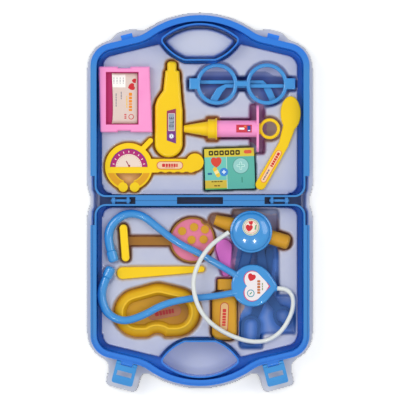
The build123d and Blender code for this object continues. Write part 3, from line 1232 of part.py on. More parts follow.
# ---------------------------------------------------------------- medicine bottle
BOTTLE_THICK = PLATEAU - LOW - SEAT_GAP / 3
with BuildPart() as bottle_body:
    with BuildSketch(Plane.XY.offset(LOW)):
        add(box_plan(*BOTTLE_X, *BOTTLE_Y, BOTTLE_CORNER))
    extrude(amount=BOTTLE_THICK)
    fillet(bottle_body.faces().filter_by(Axis.Z).edges(), BOTTLE_EDGE)
    cap_middle = sum(CAP_X) / 2
    with BuildSketch(Plane(origin=(cap_middle, CAP_Y[0] + CAP_SEAT, LOW + BOTTLE_THICK / 2), z_dir=(0, -1, 0))):
        Circle(BOTTLE_NECK_R)
    extrude(amount=CAP_Y[0] + CAP_SEAT - BOTTLE_Y[1] + BOTTLE_CORNER)
keep(bottle_body, "bottle_body")
with BuildPart() as bottle_cap:
    with BuildSketch(Plane(origin=(cap_middle, CAP_Y[0], LOW + BOTTLE_THICK / 2), x_dir=(1, 0, 0), z_dir=(0, 1, 0))):
        RectangleRounded(CAP_X[1] - CAP_X[0], BOTTLE_THICK, CAP_CORNER)
    extrude(amount=CAP_Y[1] - CAP_Y[0])
    fillet(bottle_cap.faces().sort_by(Axis.Y)[-1].edges(), CAP_EDGE)
    with BuildSketch(Plane(origin=(cap_middle, CAP_Y[0], LOW + BOTTLE_THICK / 2), z_dir=(0, 1, 0))):
        Circle(BOTTLE_NECK_R)
    extrude(amount=CAP_SEAT, mode=Mode.SUBTRACT)
keep(bottle_cap, "bottle_cap")
label(bar_plan(*BOTTLE_LABEL), LOW + BOTTLE_THICK, "bottle_label")
bottle_plan = joined(box_plan(*BOTTLE_X, *BOTTLE_Y, BOTTLE_CORNER),
                     box_plan(*CAP_X, BOTTLE_Y[1] - BOTTLE_CORNER, CAP_Y[1]))

# ---------------------------------------------------------------- scissors
pivot = SCISSOR_PIVOT
blades = (("a", SCISSOR_TIP_A, SCISSOR_LOOP_A, LOW, LOW),
          ("b", SCISSOR_TIP_B, SCISSOR_LOOP_B, LOW + SCISSOR_THICK + SEAT_GAP,
           LOW + 2 * SCISSOR_THICK + SEAT_GAP - SCISSOR_LOOP_THICK))
for name, tip, loop, blade_low, loop_low in blades:
    with BuildPart() as blade:
        with BuildSketch(Plane.XY.offset(blade_low)):
            add(oval_plan(pivot, tip, SCISSOR_BLADE_WIDE, SCISSOR_TIP_WIDE))
            add(oval_plan(pivot, loop[0], SCISSOR_BLADE_WIDE, SCISSOR_ARM_WIDE))
        extrude(amount=SCISSOR_THICK)
        with BuildSketch(Plane.XY.offset(loop_low)):
            add(bar_plan(*loop, SCISSOR_LOOP_WIDE))
        extrude(amount=SCISSOR_LOOP_THICK)
        with BuildSketch(Plane.XY.offset(LOW)):
            add(bar_plan(*loop, SCISSOR_LOOP_WIDE - 2 * SCISSOR_LOOP_WALL))
            add(disc_plan(*pivot, SCISSOR_PIN_R + PIN_FIT))
        extrude(amount=3 * SCISSOR_THICK, mode=Mode.SUBTRACT)
    keep(blade, f"scissor_blade_{name}")
with BuildPart() as scissor_pivot:
    with BuildSketch(Plane.XY.offset(LOW)):
        add(disc_plan(*pivot, SCISSOR_PIN_R))
    extrude(amount=2 * SCISSOR_THICK + 2 * SEAT_GAP)
    with BuildSketch(Plane.XY.offset(LOW + 2 * SCISSOR_THICK + 2 * SEAT_GAP)):
        add(disc_plan(*pivot, SCISSOR_HEAD_R))
    extrude(amount=SCISSOR_HEAD_THICK)
keep(scissor_pivot, "scissor_pivot")

# ---------------------------------------------------------------- base tray
base_pockets += [
    (flipped(joined(*[box_plan(*limits, POCKET_CORNER) for limits in TOOL_POCKET],
                    pocket(hammer_shadow))), DEEP_FLOOR),
    (flipped(joined(pocket(disc_plan(*TEE_DISC), LIFT_ROOM), pocket(tee_stem_plan), pocket(bar_plan(*TEE_BAR)))),
     TEE_FLOOR),
    (flipped(pocket(oval_plan(*SPOON))), SPOON_FLOOR),
    (flipped(pocket(oval_plan(*DEPRESSOR), LIFT_ROOM)), DEPRESSOR_FLOOR),
    (flipped(pocket(dish_plan(0), LIFT_ROOM)), DEEP_FLOOR),
    (flipped(pocket(bottle_plan)), DEEP_FLOOR),
]
tray("base_tray", base_pockets, [flipped(box_plan(*TOOL_PATCH, POCKET_CORNER))])
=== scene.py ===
# %% [markdown]
# # A toy doctor case
# The case lies open on its back. Both halves are blue mouldings, and each holds a pale sheet that
# was pressed over moulds, so every toy has a pocket of its own shape. Under everything is the clear
# blister that the open case is sold in.
#
# The solid frame gives every hard piece its place. This file adds what the solids leave out: soft
# edges, the pressed sheets' rounded pockets, the limp white hose, prints, plastics and light.

import json
import math
from functools import partial

import bpy
import numpy as np
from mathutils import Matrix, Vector
from mathutils.bvhtree import BVHTree


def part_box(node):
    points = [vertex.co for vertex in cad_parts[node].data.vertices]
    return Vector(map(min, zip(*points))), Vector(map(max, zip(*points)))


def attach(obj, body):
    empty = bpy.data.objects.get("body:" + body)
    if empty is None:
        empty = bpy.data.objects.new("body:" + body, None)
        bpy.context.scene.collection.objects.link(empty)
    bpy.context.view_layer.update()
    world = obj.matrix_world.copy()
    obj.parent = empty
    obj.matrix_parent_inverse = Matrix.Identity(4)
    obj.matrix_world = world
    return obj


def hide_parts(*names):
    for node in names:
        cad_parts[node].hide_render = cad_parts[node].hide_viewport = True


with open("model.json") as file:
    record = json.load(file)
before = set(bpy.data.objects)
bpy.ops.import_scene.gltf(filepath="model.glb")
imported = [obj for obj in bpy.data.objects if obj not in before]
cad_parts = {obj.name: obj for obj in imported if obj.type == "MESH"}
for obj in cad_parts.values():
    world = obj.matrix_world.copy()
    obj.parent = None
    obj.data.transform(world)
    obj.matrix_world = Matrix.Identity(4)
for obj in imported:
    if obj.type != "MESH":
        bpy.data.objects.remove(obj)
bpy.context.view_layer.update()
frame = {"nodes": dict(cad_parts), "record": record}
nodes = frame["nodes"]
scene = bpy.context.scene
scene.view_settings.view_transform = "Standard"

# %% [markdown]
# ## The camera
# The case is seen from straight above. A long lens from 3 m away keeps the walls of the case from
# leaning outwards much. The picture is 440 mm wide at the height of the rims.

# %% Place the camera
RIM_HEIGHT = 0.032
VIEW_FROM = 3.0
VIEW_WIDTH = 0.440
VIEW_MIDDLE_Y = 0.0006

lens = bpy.data.cameras.new("camera")
lens.lens = lens.sensor_width * VIEW_FROM / VIEW_WIDTH
camera = bpy.data.objects.new("camera", lens)
camera.location = (0, VIEW_MIDDLE_Y, RIM_HEIGHT + VIEW_FROM)
scene.collection.objects.link(camera)
scene.camera = camera
print("lens:", round(lens.lens, 1), "mm")

# %% [markdown]
# ## The white hose
# A limp tube joins the stethoscope's chest piece to its plate. It is one free length of soft
# plastic, so it is a curve with a round bevel: a NURBS spline runs smoothly past its control
# points, which is how a limp tube lies. The order and the end rule are set after the points are
# added.

# %% Lay the hose
HOSE_RADIUS = 2.5
HOSE_ROUTE = (
    (32.0, -34.9, 25.2), (21.5, -41.5, 25.2), (9.5, -51.5, 31.8), (-0.5, -66.0, 31.8),
    (-7.0, -83.0, 30.4), (-7.3, -99.0, 31.8), (-2.2, -117.0, 31.8), (8.0, -132.0, 27.0),
    (22.0, -143.0, 22.8), (39.0, -151.5, 20.5), (58.0, -156.6, 18.3), (76.0, -155.0, 17.9),
    (91.0, -144.0, 18.2), (101.0, -126.0, 18.8), (103.4, -113.3, 19.4), (102.0, -104.4, 19.8),
    (96.6, -98.8, 19.8), (90.0, -97.0, 19.8), (85.1, -97.0, 19.8),
)


def soft_tube(name, route, radius, widths=None):
    """A smooth round tube along control points in millimetres; widths scales it at each point.

    The bevel is one metre deep and each point's radius is the tube's own, so that the curve's
    box is true.
    """
    line = bpy.data.curves.new(name, "CURVE")
    line.dimensions = "3D"
    line.bevel_depth = 1.0
    line.bevel_resolution = 6
    line.resolution_u = 10
    line.use_fill_caps = True
    spline = line.splines.new("NURBS")
    spline.points.add(len(route) - 1)
    for number, (point, place) in enumerate(zip(spline.points, route)):
        point.co = (*[value / 1000 for value in place], 1)
        point.radius = radius / 1000 * (widths[number] if widths else 1)
    spline.order_u = 3
    spline.use_endpoint_u = True
    piece = bpy.data.objects.new(name, line)
    scene.collection.objects.link(piece)
    return piece


hose = soft_tube("white_hose", HOSE_ROUTE, HOSE_RADIUS)
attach(hose, "stethoscope")
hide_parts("hose")
print("hose points:", len(HOSE_ROUTE))

# %% [markdown]
# ## The headset
# The two blue tubes are moulded plastic, thick at the bend behind the ears and thinner towards the
# plate. The same kind of curve makes them, with a width for each control point.

# %% Shape the headset tubes
UPPER_ROUTE = (
    (38.0, -81.4), (23.0, -72.5), (-1.0, -57.8), (-24.0, -47.6), (-49.5, -27.5),
    (-63.5, -16.0), (-82.0, -13.4), (-97.8, -25.5), (-102.2, -41.5), (-98.4, -55.0),
)
LOWER_ROUTE = (
    (35.5, -102.1), (20.0, -105.4), (-12.0, -108.2), (-40.0, -114.0), (-62.0, -126.8),
    (-84.0, -134.2), (-101.5, -126.5), (-108.6, -110.5), (-108.4, -96.0), (-103.4, -85.5),
)
TUBE_HEIGHT = 19.8
TUBE_RADIUS = 4.4
TUBE_WIDTHS = (0.86, 0.86, 0.88, 0.92, 0.97, 1.0, 1.08, 1.16, 1.18, 1.1)

for side, route in (("upper", UPPER_ROUTE), ("lower", LOWER_ROUTE)):
    places = [(x, y, TUBE_HEIGHT) for x, y in route]
    arm = soft_tube(f"headset_{side}_arm", places, TUBE_RADIUS, TUBE_WIDTHS)
    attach(arm, "stethoscope")
    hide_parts(f"headset_tube_{side}")
    print(arm.name, "points:", len(route))

# %% [markdown]
# ## The chest piece
# Its top is a shallow dome above a skirt, and the round sticker follows it. The solid has a flat
# top with a rounded edge, so a turned dome stands for it: rings of points about the middle, whose
# heights follow a profile. The sticker is a disc of rings that takes the dome's height at every
# point. Walls are in metres here, and all other sizes in millimetres.

# %% Measure the chest piece's top
CHEST_X, CHEST_Y = 56.4, -34.4
DOME_RADIUS, DOME_RISE, DOME_RINGS = 20.8, 3.4, 16
EDGE_DROP, EDGE_FROM = 1.2, 0.8
SKIRT = ((20.8, 4.2), (21.2, 3.7), (22.0, 3.6), (22.8, 3.4), (23.2, 2.8), (23.2, 0.0))
chest_low, chest_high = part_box("chest_piece")
CHEST_HEIGHT = (chest_high[2] - chest_low[2]) * 1000


def dome_height(x, y):
    """Height of the dome above the chest piece's foot."""
    share = math.hypot(x - CHEST_X, y - CHEST_Y) / DOME_RADIUS
    edge = max(0.0, share - EDGE_FROM) / (1 - EDGE_FROM)
    return CHEST_HEIGHT - DOME_RISE * share ** 2 - EDGE_DROP * edge ** 2


def chest_profile(x, y, ring):
    """The dome's height on its own rings, and the skirt's on the rings past them."""
    return dome_height(x, y) if ring < DOME_RINGS else SKIRT[ring - DOME_RINGS][1]


print("chest piece:", round(CHEST_HEIGHT, 1), "mm high")

# %% Turn the dome
DOME_WALL = 0.0012


def mesh_piece(name, points, faces):
    """A smooth mesh object from its points, in metres, and its faces."""
    mesh = bpy.data.meshes.new(name)
    mesh.from_pydata(points, [], faces)
    mesh.polygons.foreach_set("use_smooth", [True] * len(faces))
    piece = bpy.data.objects.new(name, mesh)
    scene.collection.objects.link(piece)
    return piece


def thicken(sheet, thickness):
    """Gives a sheet a thickness, all of it below its points."""
    wall = sheet.modifiers.new("wall", "SOLIDIFY")
    wall.thickness = thickness
    wall.offset = -1


def rings(name, middle, radii, height, turns=96):
    """A round sheet made of rings; height gives the height of a point of a numbered ring."""
    points, faces = [(*middle, height(*middle, 0))], []
    for number, radius in enumerate(radii):
        for turn in range(turns):
            angle = 2 * math.pi * turn / turns
            x, y = middle[0] + radius * math.cos(angle), middle[1] + radius * math.sin(angle)
            points.append((x, y, height(x, y, number)))
            after = (turn + 1) % turns
            inner, outer = 1 + (number - 1) * turns, 1 + number * turns
            if number == 0:
                faces.append((0, outer + turn, outer + after))
            else:
                faces.append((inner + turn, outer + turn, outer + after, inner + after))
    foot = chest_low[2]
    return mesh_piece(name, [(x / 1000, y / 1000, foot + z / 1000) for x, y, z in points], faces)


def even_radii(radius, count):
    """The radii of evenly spaced rings out to a radius."""
    return [radius * step / count for step in range(1, count + 1)]


dome = rings("chest_dome", (CHEST_X, CHEST_Y),
             even_radii(DOME_RADIUS, DOME_RINGS) + [radius for radius, _ in SKIRT], chest_profile)
thicken(dome, DOME_WALL)
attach(dome, "stethoscope")
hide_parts("chest_piece")
print("dome points:", len(dome.data.vertices))

# %% Lay the round sticker on it
STICKER_X, STICKER_Y, STICKER_RADIUS, STICKER_RINGS = 56.1, -29.2, 9.4, 6
STICKER_LIFT = 0.25
STICKER_WALL = 0.0002

sticker = rings("chest_round_sticker", (STICKER_X, STICKER_Y),
                even_radii(STICKER_RADIUS, STICKER_RINGS),
                lambda x, y, ring: dome_height(x, y) + STICKER_LIFT)
thicken(sticker, STICKER_WALL)
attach(sticker, "stethoscope")
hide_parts("chest_label")
print("sticker points:", len(sticker.data.vertices))

# %% [markdown]
# ## Soft edges
# No moulded edge is sharp: even a crisp one has a radius of a few tenths of a millimetre, and that
# radius is what catches the light. A Bevel modifier rounds each edge that turns by more than 35
# degrees. A planar Decimate goes first, so that flat faces are whole before they are bevelled.

# %% Round the moulded edges
EDGE_WIDTHS = {
    1.3: ("gauge_body",),
    0.8: ("scissor_blade_a", "scissor_blade_b"),
    0.7: ("lid_shell", "base_shell", "tee_handle", "kidney_dish"),
    0.6: ("syringe_nozzle",),
    0.5: ("badge_holder", "spatula", "syringe_barrel", "temple_left", "temple_right",
          "glasses_front", "spoon"),
    0.4: ("latch_left", "latch_right", "tee_dots", "bottle_cap", "scissor_pivot", "hammer_grip",
          "tongue_depressor", "ear_tip_upper", "ear_tip_lower"),
    0.35: ("picture_box",),
    0.3: ("tee_face",),
}
SHARP_FROM = math.radians(32)
BEVEL_FROM = math.radians(35)
FLAT_WITHIN = math.radians(0.4)

for node in nodes.values():
    node.data.polygons.foreach_set("use_smooth", [True] * len(node.data.polygons))
    node.data.set_sharp_from_angle(angle=SHARP_FROM)
for width, names in EDGE_WIDTHS.items():
    for name in names:
        flat = nodes[name].modifiers.new("whole_faces", "DECIMATE")
        flat.decimate_type = "DISSOLVE"
        flat.angle_limit = FLAT_WITHIN
        edge = nodes[name].modifiers.new("soft_edges", "BEVEL")
        edge.width = width / 1000
        edge.segments = 3
        edge.limit_method = "ANGLE"
        edge.angle_limit = BEVEL_FROM
        edge.harden_normals = True
print("bevelled nodes:", sum(len(names) for names in EDGE_WIDTHS.values()))

# %% [markdown]
# ## The pressed sheets
# Each tray began as a flat glossy sheet, and was drawn down over a mould while hot. Its pockets
# therefore have leaning walls and round shoulders, which solid modelling gives only with hundreds
# of fillets. Here a grid of points drops onto the solid tray to find its heights. Averaging each
# height with its neighbours rounds the pockets as the hot sheet did, and keeping the lower of the
# two heights lets the shoulders sink while the floors stay flat.

# %% Find the heights of a solid's top
GRID = 0.0008
PLATEAU = 0.0151
ABOVE = 0.01
NEIGHBOURS = ((0, 0, 4), (0, 1, 2), (0, -1, 2), (1, 0, 2), (-1, 0, 2),
              (1, 1, 1), (1, -1, 1), (-1, 1, 1), (-1, -1, 1))


def heights_over(node_name, grid):
    """A grid over a solid: its lines across and along, and the top's height at each crossing."""
    low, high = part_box(node_name)
    mesh = nodes[node_name].data
    tree = BVHTree.FromPolygons([v.co.copy() for v in mesh.vertices],
                                [tuple(p.vertices) for p in mesh.polygons])
    xs = np.arange(low[0], high[0] + grid, grid)
    ys = np.arange(low[1], high[1] + grid, grid)
    z = np.full((len(ys), len(xs)), np.nan)
    down = Vector((0, 0, -1))
    for row, y in enumerate(ys):
        for column, x in enumerate(xs):
            hit = tree.ray_cast(Vector((x, y, high[2] + ABOVE)), down)[0]
            if hit is not None:
                z[row, column] = hit.z
    return xs, ys, z


def averaged(z, times):
    """Each value averaged with its eight neighbours, several times over."""
    rows, columns = z.shape
    whole = sum(weight for _, _, weight in NEIGHBOURS)
    for _ in range(times):
        wide = np.pad(z, 1, mode="edge")
        z = sum(wide[1 + dy:1 + dy + rows, 1 + dx:1 + dx + columns] * weight
                for dy, dx, weight in NEIGHBOURS) / whole
    return z


# %% Make a sheet from heights
FILM = 0.0004


def sheet_from(name, xs, ys, z, kept):
    """A thin sheet over the kept crossings of a grid."""
    number = np.full(z.shape, -1)
    number[kept] = np.arange(kept.sum())
    rows, columns = np.nonzero(kept)
    points = np.stack([xs[columns], ys[rows], z[rows, columns]], axis=1)
    whole = kept[:-1, :-1] & kept[1:, :-1] & kept[:-1, 1:] & kept[1:, 1:]
    r, c = np.nonzero(whole)
    corners = [number[r, c], number[r, c + 1], number[r + 1, c + 1], number[r + 1, c]]
    sheet = mesh_piece(name, points.tolist(), np.stack(corners, axis=1).tolist())
    thicken(sheet, FILM)
    print(name, "points:", len(points))
    return sheet, points


# %% Press the two trays
SHOULDER = 5
POLISH = 2
KEPT_SHARE = 0.25


def press(name, node_name, body):
    """A sheet pressed over one solid tray, which it stands for."""
    xs, ys, raw = heights_over(node_name, GRID)
    bare = np.isnan(raw)
    flat = np.where(bare, PLATEAU, raw)
    sunk = np.minimum(flat, averaged(flat, SHOULDER))
    z = averaged(np.where(bare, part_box(node_name)[0][2], sunk), POLISH)
    kept = averaged((~bare).astype(float), 1) > KEPT_SHARE
    sheet, points = sheet_from(name, xs, ys, z, kept)
    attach(sheet, body)
    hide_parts(node_name)
    return sheet, points


lid_sheet, lid_points = press("lid_pressed_sheet", "lid_tray", "lid")
base_sheet, base_points = press("base_pressed_sheet", "base_tray", "base")

# %% [markdown]
# ## The blister's skin
# The clear blister under the case was pressed too, so its rim swells softly and its outline has no
# sharp corners. The same drop onto the solid gives its heights. Its outline is smoothed first:
# where the averaged outline is more than half full there is sheet, which rounds each corner. The
# outermost points go down to the floor.

# %% Press the blister
BLISTER_GRID = 0.001
BLISTER_RIM = 0.014
BLISTER_SHOULDER = 2
ROUND_CORNERS = 24
MARGIN = 6


def softened(kept, times, margin=1):
    """A mask's own average, with bare ground all round it."""
    return averaged(np.pad(kept.astype(float), margin), times)[margin:-margin, margin:-margin]


xs, ys, raw = heights_over("display_blister", BLISTER_GRID)
there = ~np.isnan(raw)
kept = softened(there, ROUND_CORNERS, MARGIN) > 0.5
flat = np.where(there, raw, BLISTER_RIM)
sunk = np.minimum(flat, averaged(flat, BLISTER_SHOULDER))
blister_z = averaged(np.where(kept, sunk, 0), 1)
blister_z[kept & (softened(kept, 1) < 0.999)] = FILM
blister_skin, blister_points = sheet_from("blister_skin", xs, ys, blister_z, kept)
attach(blister_skin, "base")
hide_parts("display_blister")
print("rounded away:", int((there & ~kept).sum()), "filled in:", int((kept & ~there).sum()))

# %% [markdown]
# ## Colours
# Colours are written as they look on a screen, from 0 to 255. Shaders work in linear values, so
# each colour is turned to those where it is used.

# %% Name the colours
CASE_BLUE = (46, 142, 246)
CASE_DEEP = (38, 128, 236)
CASE_HANDLE = (40, 120, 214)
CASE_RIM_HIGHLIGHT = (60, 132, 198)
TOY_BLUE = (62, 156, 220)
TOY_BLUE_DEEP = (46, 130, 200)
LATCH_BLUE = (66, 156, 218)
SCISSOR_BLUE = (46, 92, 150)
SCISSOR_DEEP = (30, 70, 130)
HINGE_NAVY = (52, 84, 138)
SUN_YELLOW = (250, 208, 16)
SUN_YELLOW_DEEP = (240, 194, 10)
AMBER = (222, 168, 36)
AMBER_DEEP = (200, 138, 32)
AMBER_DARK = (150, 100, 30)
CANDY_PINK = (252, 160, 208)
CANDY_PINK_DEEP = (244, 140, 196)
SALMON = (232, 130, 164)
SALMON_DEEP = (216, 114, 132)
VIOLET = (222, 118, 202)
VIOLET_DEEP = (204, 96, 186)
WINDOW_SHADE_MAGENTA = (196, 40, 110)
PALE_SHEET = (194, 196, 211)
FILM_GREY = (214, 216, 226)
FILM_EDGE = (206, 208, 220)
HOSE_WHITE = (230, 232, 226)
HOSE_GREY = (214, 218, 214)
INK_RED = (206, 36, 46)
INK_ORANGE = (238, 140, 30)
INK_GREY = (110, 112, 128)
CARD_WHITE = (224, 202, 190)


def screen(colour):
    """A screen colour as a linear shader colour."""
    return tuple((v / 255 / 12.92) if v <= 10 else ((v / 255 + 0.055) / 1.055) ** 2.4
                 for v in colour) + (1,)


print("case blue:", [round(v, 3) for v in screen(CASE_BLUE)])

# %% [markdown]
# ## Painted reflections in the pockets
# The sheet is glossy, so a pocket mirrors the toy that lies in it: yellow toys turn their pockets
# brown, and blue ones turn theirs navy. Many bounces of light would be needed to get that by
# rendering alone, so each point of a sheet stores a painted reflection, the tint of its nearest
# toy, stronger with depth. Two places between blue pieces get painted blue reflection and shade of
# their own.

# %% Name the toys' tints
TOY_REFLECTION_TINTS = {
    "thermometer_body": (220, 158, 66), "glasses_front": (172, 176, 214),
    "temple_left": (44, 80, 160), "temple_right": (44, 80, 160),
    "syringe_nozzle": (222, 150, 64), "syringe_barrel": (150, 72, 132),
    "plunger": (186, 148, 130), "gauge_body": (230, 178, 96), "picture_box": (142, 152, 168),
    "badge_holder": (196, 158, 196), "spatula": (214, 184, 120),
    "hammer_head": (186, 138, 110), "hammer_grip": (40, 96, 180),
    "scissor_blade_a": (46, 118, 204), "scissor_blade_b": (46, 118, 204),
    "tee_handle": (196, 132, 84), "tee_face": (190, 110, 90),
    "spoon": (214, 130, 190), "tongue_depressor": (220, 184, 80), "kidney_dish": (196, 158, 112),
    "bottle_body": (186, 148, 130), "ear_tip_upper": (120, 134, 186),
    "ear_tip_lower": (120, 134, 186), "chest_piece": (34, 92, 170),
    "stethoscope_plate": (40, 108, 190),
}
LID_BODIES = ("badge", "thermometer", "glasses", "temple_left", "temple_right", "syringe",
              "plunger", "spatula", "gauge", "picture_box")
bodies = frame["record"]["behaviour"]["bodies"]
in_lid = [name for name in TOY_REFLECTION_TINTS if any(name in bodies[body] for body in LID_BODIES)]
in_base = [name for name in TOY_REFLECTION_TINTS if name not in in_lid]
print("in the lid:", len(in_lid), "in the base:", len(in_base))

# %% Tint each sheet by its toys
TINT_REACH = 0.024
TINT_DEEP = 0.006
TINT_LEAST, TINT_NEAR, TINT_MOST = 0.25, 0.7, 0.92
HALO, HALO_FALL = 0.12, 6
ZONE_EDGE = 0.003
(left_low, left_high), (right_low, right_high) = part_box("temple_left"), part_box("temple_right")
TEMPLE_SHADE_BAND = (min(left_low[0], right_low[0]), max(left_high[0], right_high[0]), 0.1245, 0.1395)
CHEST_BAY_REFLECTION = (0.034, 0.088, -0.066, -0.014)


def toy_tree(names):
    """One search tree over several toys, and the tint of each of its faces."""
    points, faces, tints = [], [], []
    for name in names:
        mesh = nodes[name].data
        start = len(points)
        points += [v.co.copy() for v in mesh.vertices]
        faces += [tuple(start + n for n in p.vertices) for p in mesh.polygons]
        tints += [screen(TOY_REFLECTION_TINTS[name])] * len(mesh.polygons)
    return BVHTree.FromPolygons(points, faces), tints


def blended(colours, points, zone, tint, strength):
    """Moves the colours inside a soft-edged box (low x, high x, low y, high y) towards a tint."""
    x, y = points[:, 0], points[:, 1]
    inside = np.minimum.reduce([x - zone[0], zone[1] - x, y - zone[2], zone[3] - y]) / ZONE_EDGE
    share = np.clip(inside, 0, 1)[:, None] * strength
    return colours + share * (np.array(screen(tint)) - colours)


def store_tint(sheet, colours):
    """Stores one colour for each point of a sheet."""
    layer = sheet.data.color_attributes.new("tint", "FLOAT_COLOR", "POINT")
    layer.data.foreach_set("color", colours.ravel())


def paint_pocket_reflections(sheet, points, names, zones):
    """Paints each point with its nearest toy's reflection, and then with the zones' reflection and
    shade.
    """
    tree, tints = toy_tree(names)
    colours = np.tile(np.array(screen(PALE_SHEET)), (len(points), 1))
    for number, point in enumerate(points):
        _, _, face, away = tree.find_nearest(Vector(point), TINT_REACH)
        if face is None:
            continue
        near = max(0.0, 1 - away / TINT_REACH)
        depth = min(1.0, max(0.0, (PLATEAU - point[2]) / TINT_DEEP))
        share = depth * (TINT_LEAST + TINT_NEAR * near) + HALO * near ** HALO_FALL
        colours[number] += min(share, TINT_MOST) * (np.array(tints[face]) - colours[number])
    for zone, tint, strength in zones:
        colours = blended(colours, points, zone, tint, strength)
    store_tint(sheet, colours)
    print(sheet.name, "tinted by", len(names), "toys and", len(zones), "zones")


# Painted blue reflection and shade fill the band under the glasses' temples and the bay round the
# chest piece.
paint_pocket_reflections(lid_sheet, lid_points, in_lid, [(TEMPLE_SHADE_BAND, (40, 62, 128), 0.75)])
paint_pocket_reflections(base_sheet, base_points, in_base, [(CHEST_BAY_REFLECTION, (34, 84, 158), 0.5)])

# %% [markdown]
# The blister turns navy in the slit under the hinge, where blue plastic shades it from both sides.
# Its outer slope is a little greyer than its flats, because one looks through more film there.

# %% Tint the blister by the hinge and at its outer slope
HINGE_HALF = (0.112, 0.0085)
RIM_BLUR = 6
SLOPE_GAIN = 4
film, edge, navy = (np.array(screen(colour)) for colour in (FILM_GREY, FILM_EDGE, HINGE_NAVY))
slope = np.clip(SLOPE_GAIN * (1 - softened(kept, RIM_BLUR)[kept]), 0, 1)[:, None]
in_hinge = (abs(blister_points[:, :2]) < HINGE_HALF).all(axis=1)
store_tint(blister_skin, np.where(in_hinge[:, None], navy, film + slope * (edge - film)))
print("tinted by the hinge:", int(in_hinge.sum()), "points")

# %% [markdown]
# ## Moulded plastic
# Most pieces are glossy moulded plastic. Up close its colour drifts a little where the melt flowed,
# its gloss varies, and its skin has a faint ripple. Many materials share that, so it is a node
# group: it puts out a colour, a roughness and a height, and each material keeps its own shader.
# Five helpers write the nodes of every group and material.

# %% Write nodes with few lines
COLOUR, NUMBER = "NodeSocketColor", "NodeSocketFloat"
MASK = {"Mask": NUMBER}


def group(name, inputs, outputs):
    """A node group from values and kinds. Returns it, its inputs' sockets and its output node."""
    tree = bpy.data.node_groups.new(name, "ShaderNodeTree")
    for socket, value in inputs.items():
        kind = COLOUR if isinstance(value, tuple) else NUMBER
        tree.interface.new_socket(socket, in_out="INPUT", socket_type=kind).default_value = value
    for socket, kind in outputs.items():
        tree.interface.new_socket(socket, in_out="OUTPUT", socket_type=kind)
    return tree, tree.nodes.new("NodeGroupInput").outputs, tree.nodes.new("NodeGroupOutput")


def feed(node, inputs):
    """Gives each named input a number, a screen colour or another node's socket."""
    for name, source in inputs.items():
        if isinstance(source, bpy.types.NodeSocket):
            node.id_data.links.new(source, node.inputs[name])
        else:
            value = screen(source) if isinstance(source, tuple) else source
            node.inputs[name].default_value = value


def add_node(tree, kind, inputs=None, **settings):
    """A shader node with its settings, and with its inputs fed."""
    node = tree.nodes.new("ShaderNode" + kind)
    for setting, value in settings.items():
        setattr(node, setting, value)
    feed(node, inputs or {})
    return node


def maths(tree, operation, *terms):
    """A Math node whose inputs are sockets or numbers; returns its output."""
    return add_node(tree, "Math", dict(enumerate(terms)), operation=operation).outputs[0]


def mixed(tree, factor, first, second, **settings):
    """A mix of two colours, each a socket or a screen colour; returns its result."""
    inputs = {"Factor": factor, "A": first, "B": second}
    return add_node(tree, "Mix", inputs, data_type="RGBA", **settings).outputs["Result"]


# %% Build the moulded skin group
skin, given, out = group(
    "moulded_skin",
    {"Colour": (1, 1, 1, 1), "Flow Colour": (1, 1, 1, 1), "Flow Scale": 40.0, "Gloss": 0.3,
     "Gloss Drift": 0.08, "Ripple Scale": 300.0},
    {"Colour": COLOUR, "Roughness": NUMBER, "Height": NUMBER})
place = add_node(skin, "TexCoord").outputs["Object"]
flow, ripple = (
    add_node(skin, "TexNoise", {"Vector": place, "Scale": given[scale], "Detail": detail})
    .outputs["Fac"] for scale, detail in (("Flow Scale", 3), ("Ripple Scale", 2)))
melt = mixed(skin, flow, given["Colour"], given["Flow Colour"])
drift = maths(skin, "MULTIPLY", maths(skin, "SUBTRACT", ripple, 0.5), given["Gloss Drift"])
roughness = maths(skin, "ADD", given["Gloss"], drift)
feed(out, {"Colour": melt, "Roughness": roughness, "Height": ripple})
print("group:", skin.name, len(skin.nodes), "nodes")

# %% Make a plastic from it
RIPPLE_DEPTH = 0.0004
SHINE = 0.3
COAT_ROUGHNESS = 0.08


def new_material(name):
    """An empty node material with its shader."""
    material = bpy.data.materials.new(name)
    material.use_nodes = True
    return material, material.node_tree, material.node_tree.nodes["Principled BSDF"]


def place_group(tree, shared, **inputs):
    """A shared group inside a material, with its own inputs."""
    inputs = {name.replace("_", " "): source for name, source in inputs.items()}
    return add_node(tree, "Group", inputs, node_tree=shared)


def skinned(name, colour, flow_colour, gloss=0.3, coat=0.1, ripple=0.06, flow_scale=40.0,
            ripple_scale=300.0):
    """A moulded plastic. Returns the material, its tree, its shader and its colour."""
    material, tree, shader = new_material(name)
    node = place_group(tree, skin, Colour=colour, Flow_Colour=flow_colour, Gloss=gloss,
                       Flow_Scale=flow_scale, Ripple_Scale=ripple_scale)
    bump = add_node(tree, "Bump", {"Strength": ripple, "Distance": RIPPLE_DEPTH,
                                   "Height": node.outputs["Height"]})
    feed(shader, {
        "Base Color": node.outputs["Colour"], "Roughness": node.outputs["Roughness"],
        "Normal": bump.outputs["Normal"], "Specular IOR Level": SHINE,
        "Coat Weight": coat, "Coat Roughness": COAT_ROUGHNESS})
    return material, tree, shader, node.outputs["Colour"]


def wear(material, *names):
    """Puts a material on nodes or pieces."""
    for name in names:
        mesh = (nodes[name] if name in nodes else bpy.data.objects[name]).data
        mesh.materials.clear()
        mesh.materials.append(material)


